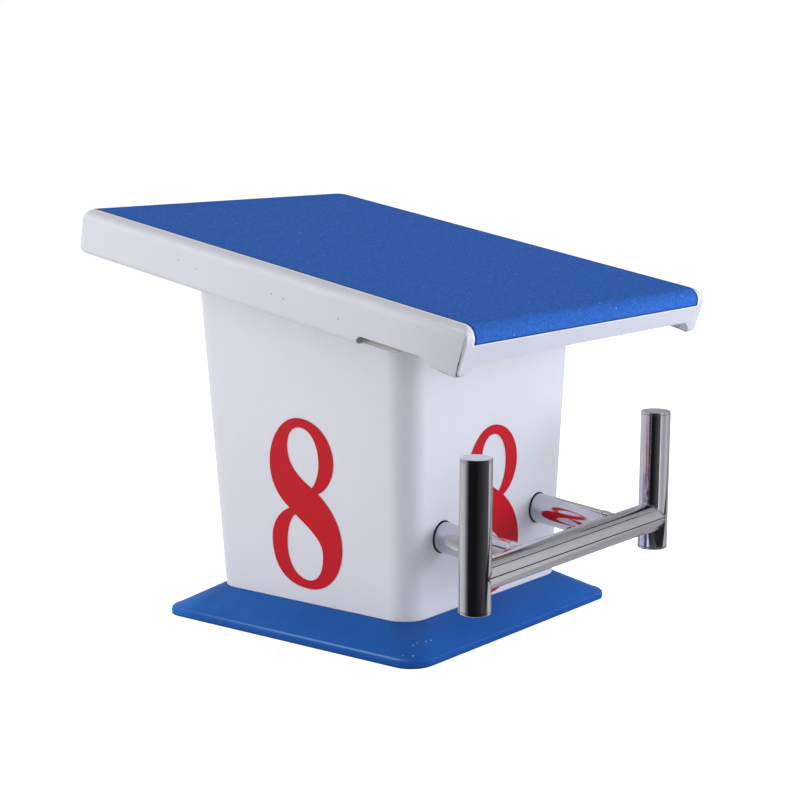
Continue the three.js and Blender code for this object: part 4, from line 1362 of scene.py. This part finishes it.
def dress_node(name, material):
    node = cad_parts[name]
    if not node.material_slots:
        node.data.materials.append(material)
    for held in node.material_slots:
        held.material = material


FINISHES = {
    "white_gelcoat": gelcoat_white(),
    "blue_gelcoat": gelcoat_blue(),
    "blue_grit": grit_blue(),
    "raw_laminate": laminate_raw(),
    "polished_steel": steel_polished(),
    "fastener_steel": steel_fastener(),
    "black_rubber": rubber_black(),
    "red_vinyl": vinyl_red(),
}

make_camera()
dress(make_plinth(), "blue_gelcoat", "plinth_skin")
dress(make_pedestal(), "white_gelcoat", "pedestal_shell")
dress(make_flange(), "raw_laminate", "pedestal_flange")
platform, deck_surface = make_platform()
dress(platform, "white_gelcoat", "platform_shell", material=gelcoat_white(platform=True))
dress(deck_surface, "blue_grit", "antislip_surface")
dress(make_crossbar(), "polished_steel", "grip_crossbar")
for side, name in SIDE_NAMES.items():
    dress(make_stiffener(side), "raw_laminate", f"skirt_stiffener_{name}")
    dress(make_arm(side), "polished_steel", f"grip_arm_{name}")
    dress(make_upright(side), "polished_steel", f"grip_upright_{name}")
    for end in ("top", "foot"):
        dress(make_cap(side, end), "polished_steel", f"upright_cap_{end}_{name}")
    dress(make_seal(side), "black_rubber", f"arm_seal_{name}")
for piece, node in make_numbers():
    dress(piece, "red_vinyl", node)
for piece, node in place_fasteners():
    dress(piece, "fastener_steel", node)
for node, turn in (("plinth_core", 0), ("deck_core", -SLOPE), ("grip_pad", RIGHT_ANGLE)):
    dress_node(node, ply_wood((turn, 0, 0)))
dress_node("grip_backing_plate", FINISHES["fastener_steel"])

make_floor()
make_world()
make_lamp("overhead", (0.2, 0.1, 2.6), (0, 0, 0.3), (2.4, 2.4), 6)
make_lamp("left_rear_panel", (-1.75, 1.65, 0.65), (0, 0, 0.25), (1.6, 1.3), 28.5)
make_lamp("right_front_panel", (1.6, -1.8, 0.40), (0, 0, 0.2), (2.4, 1.2), 62, (0.88, 0.92, 1.0))
make_lamp("soft_fill", (-1.9, -1.6, 0.9), (0, 0, 0.25), (1.2, 1.2), 6)
make_flats()

scene = bpy.context.scene
scene.view_settings.view_transform = "Standard"
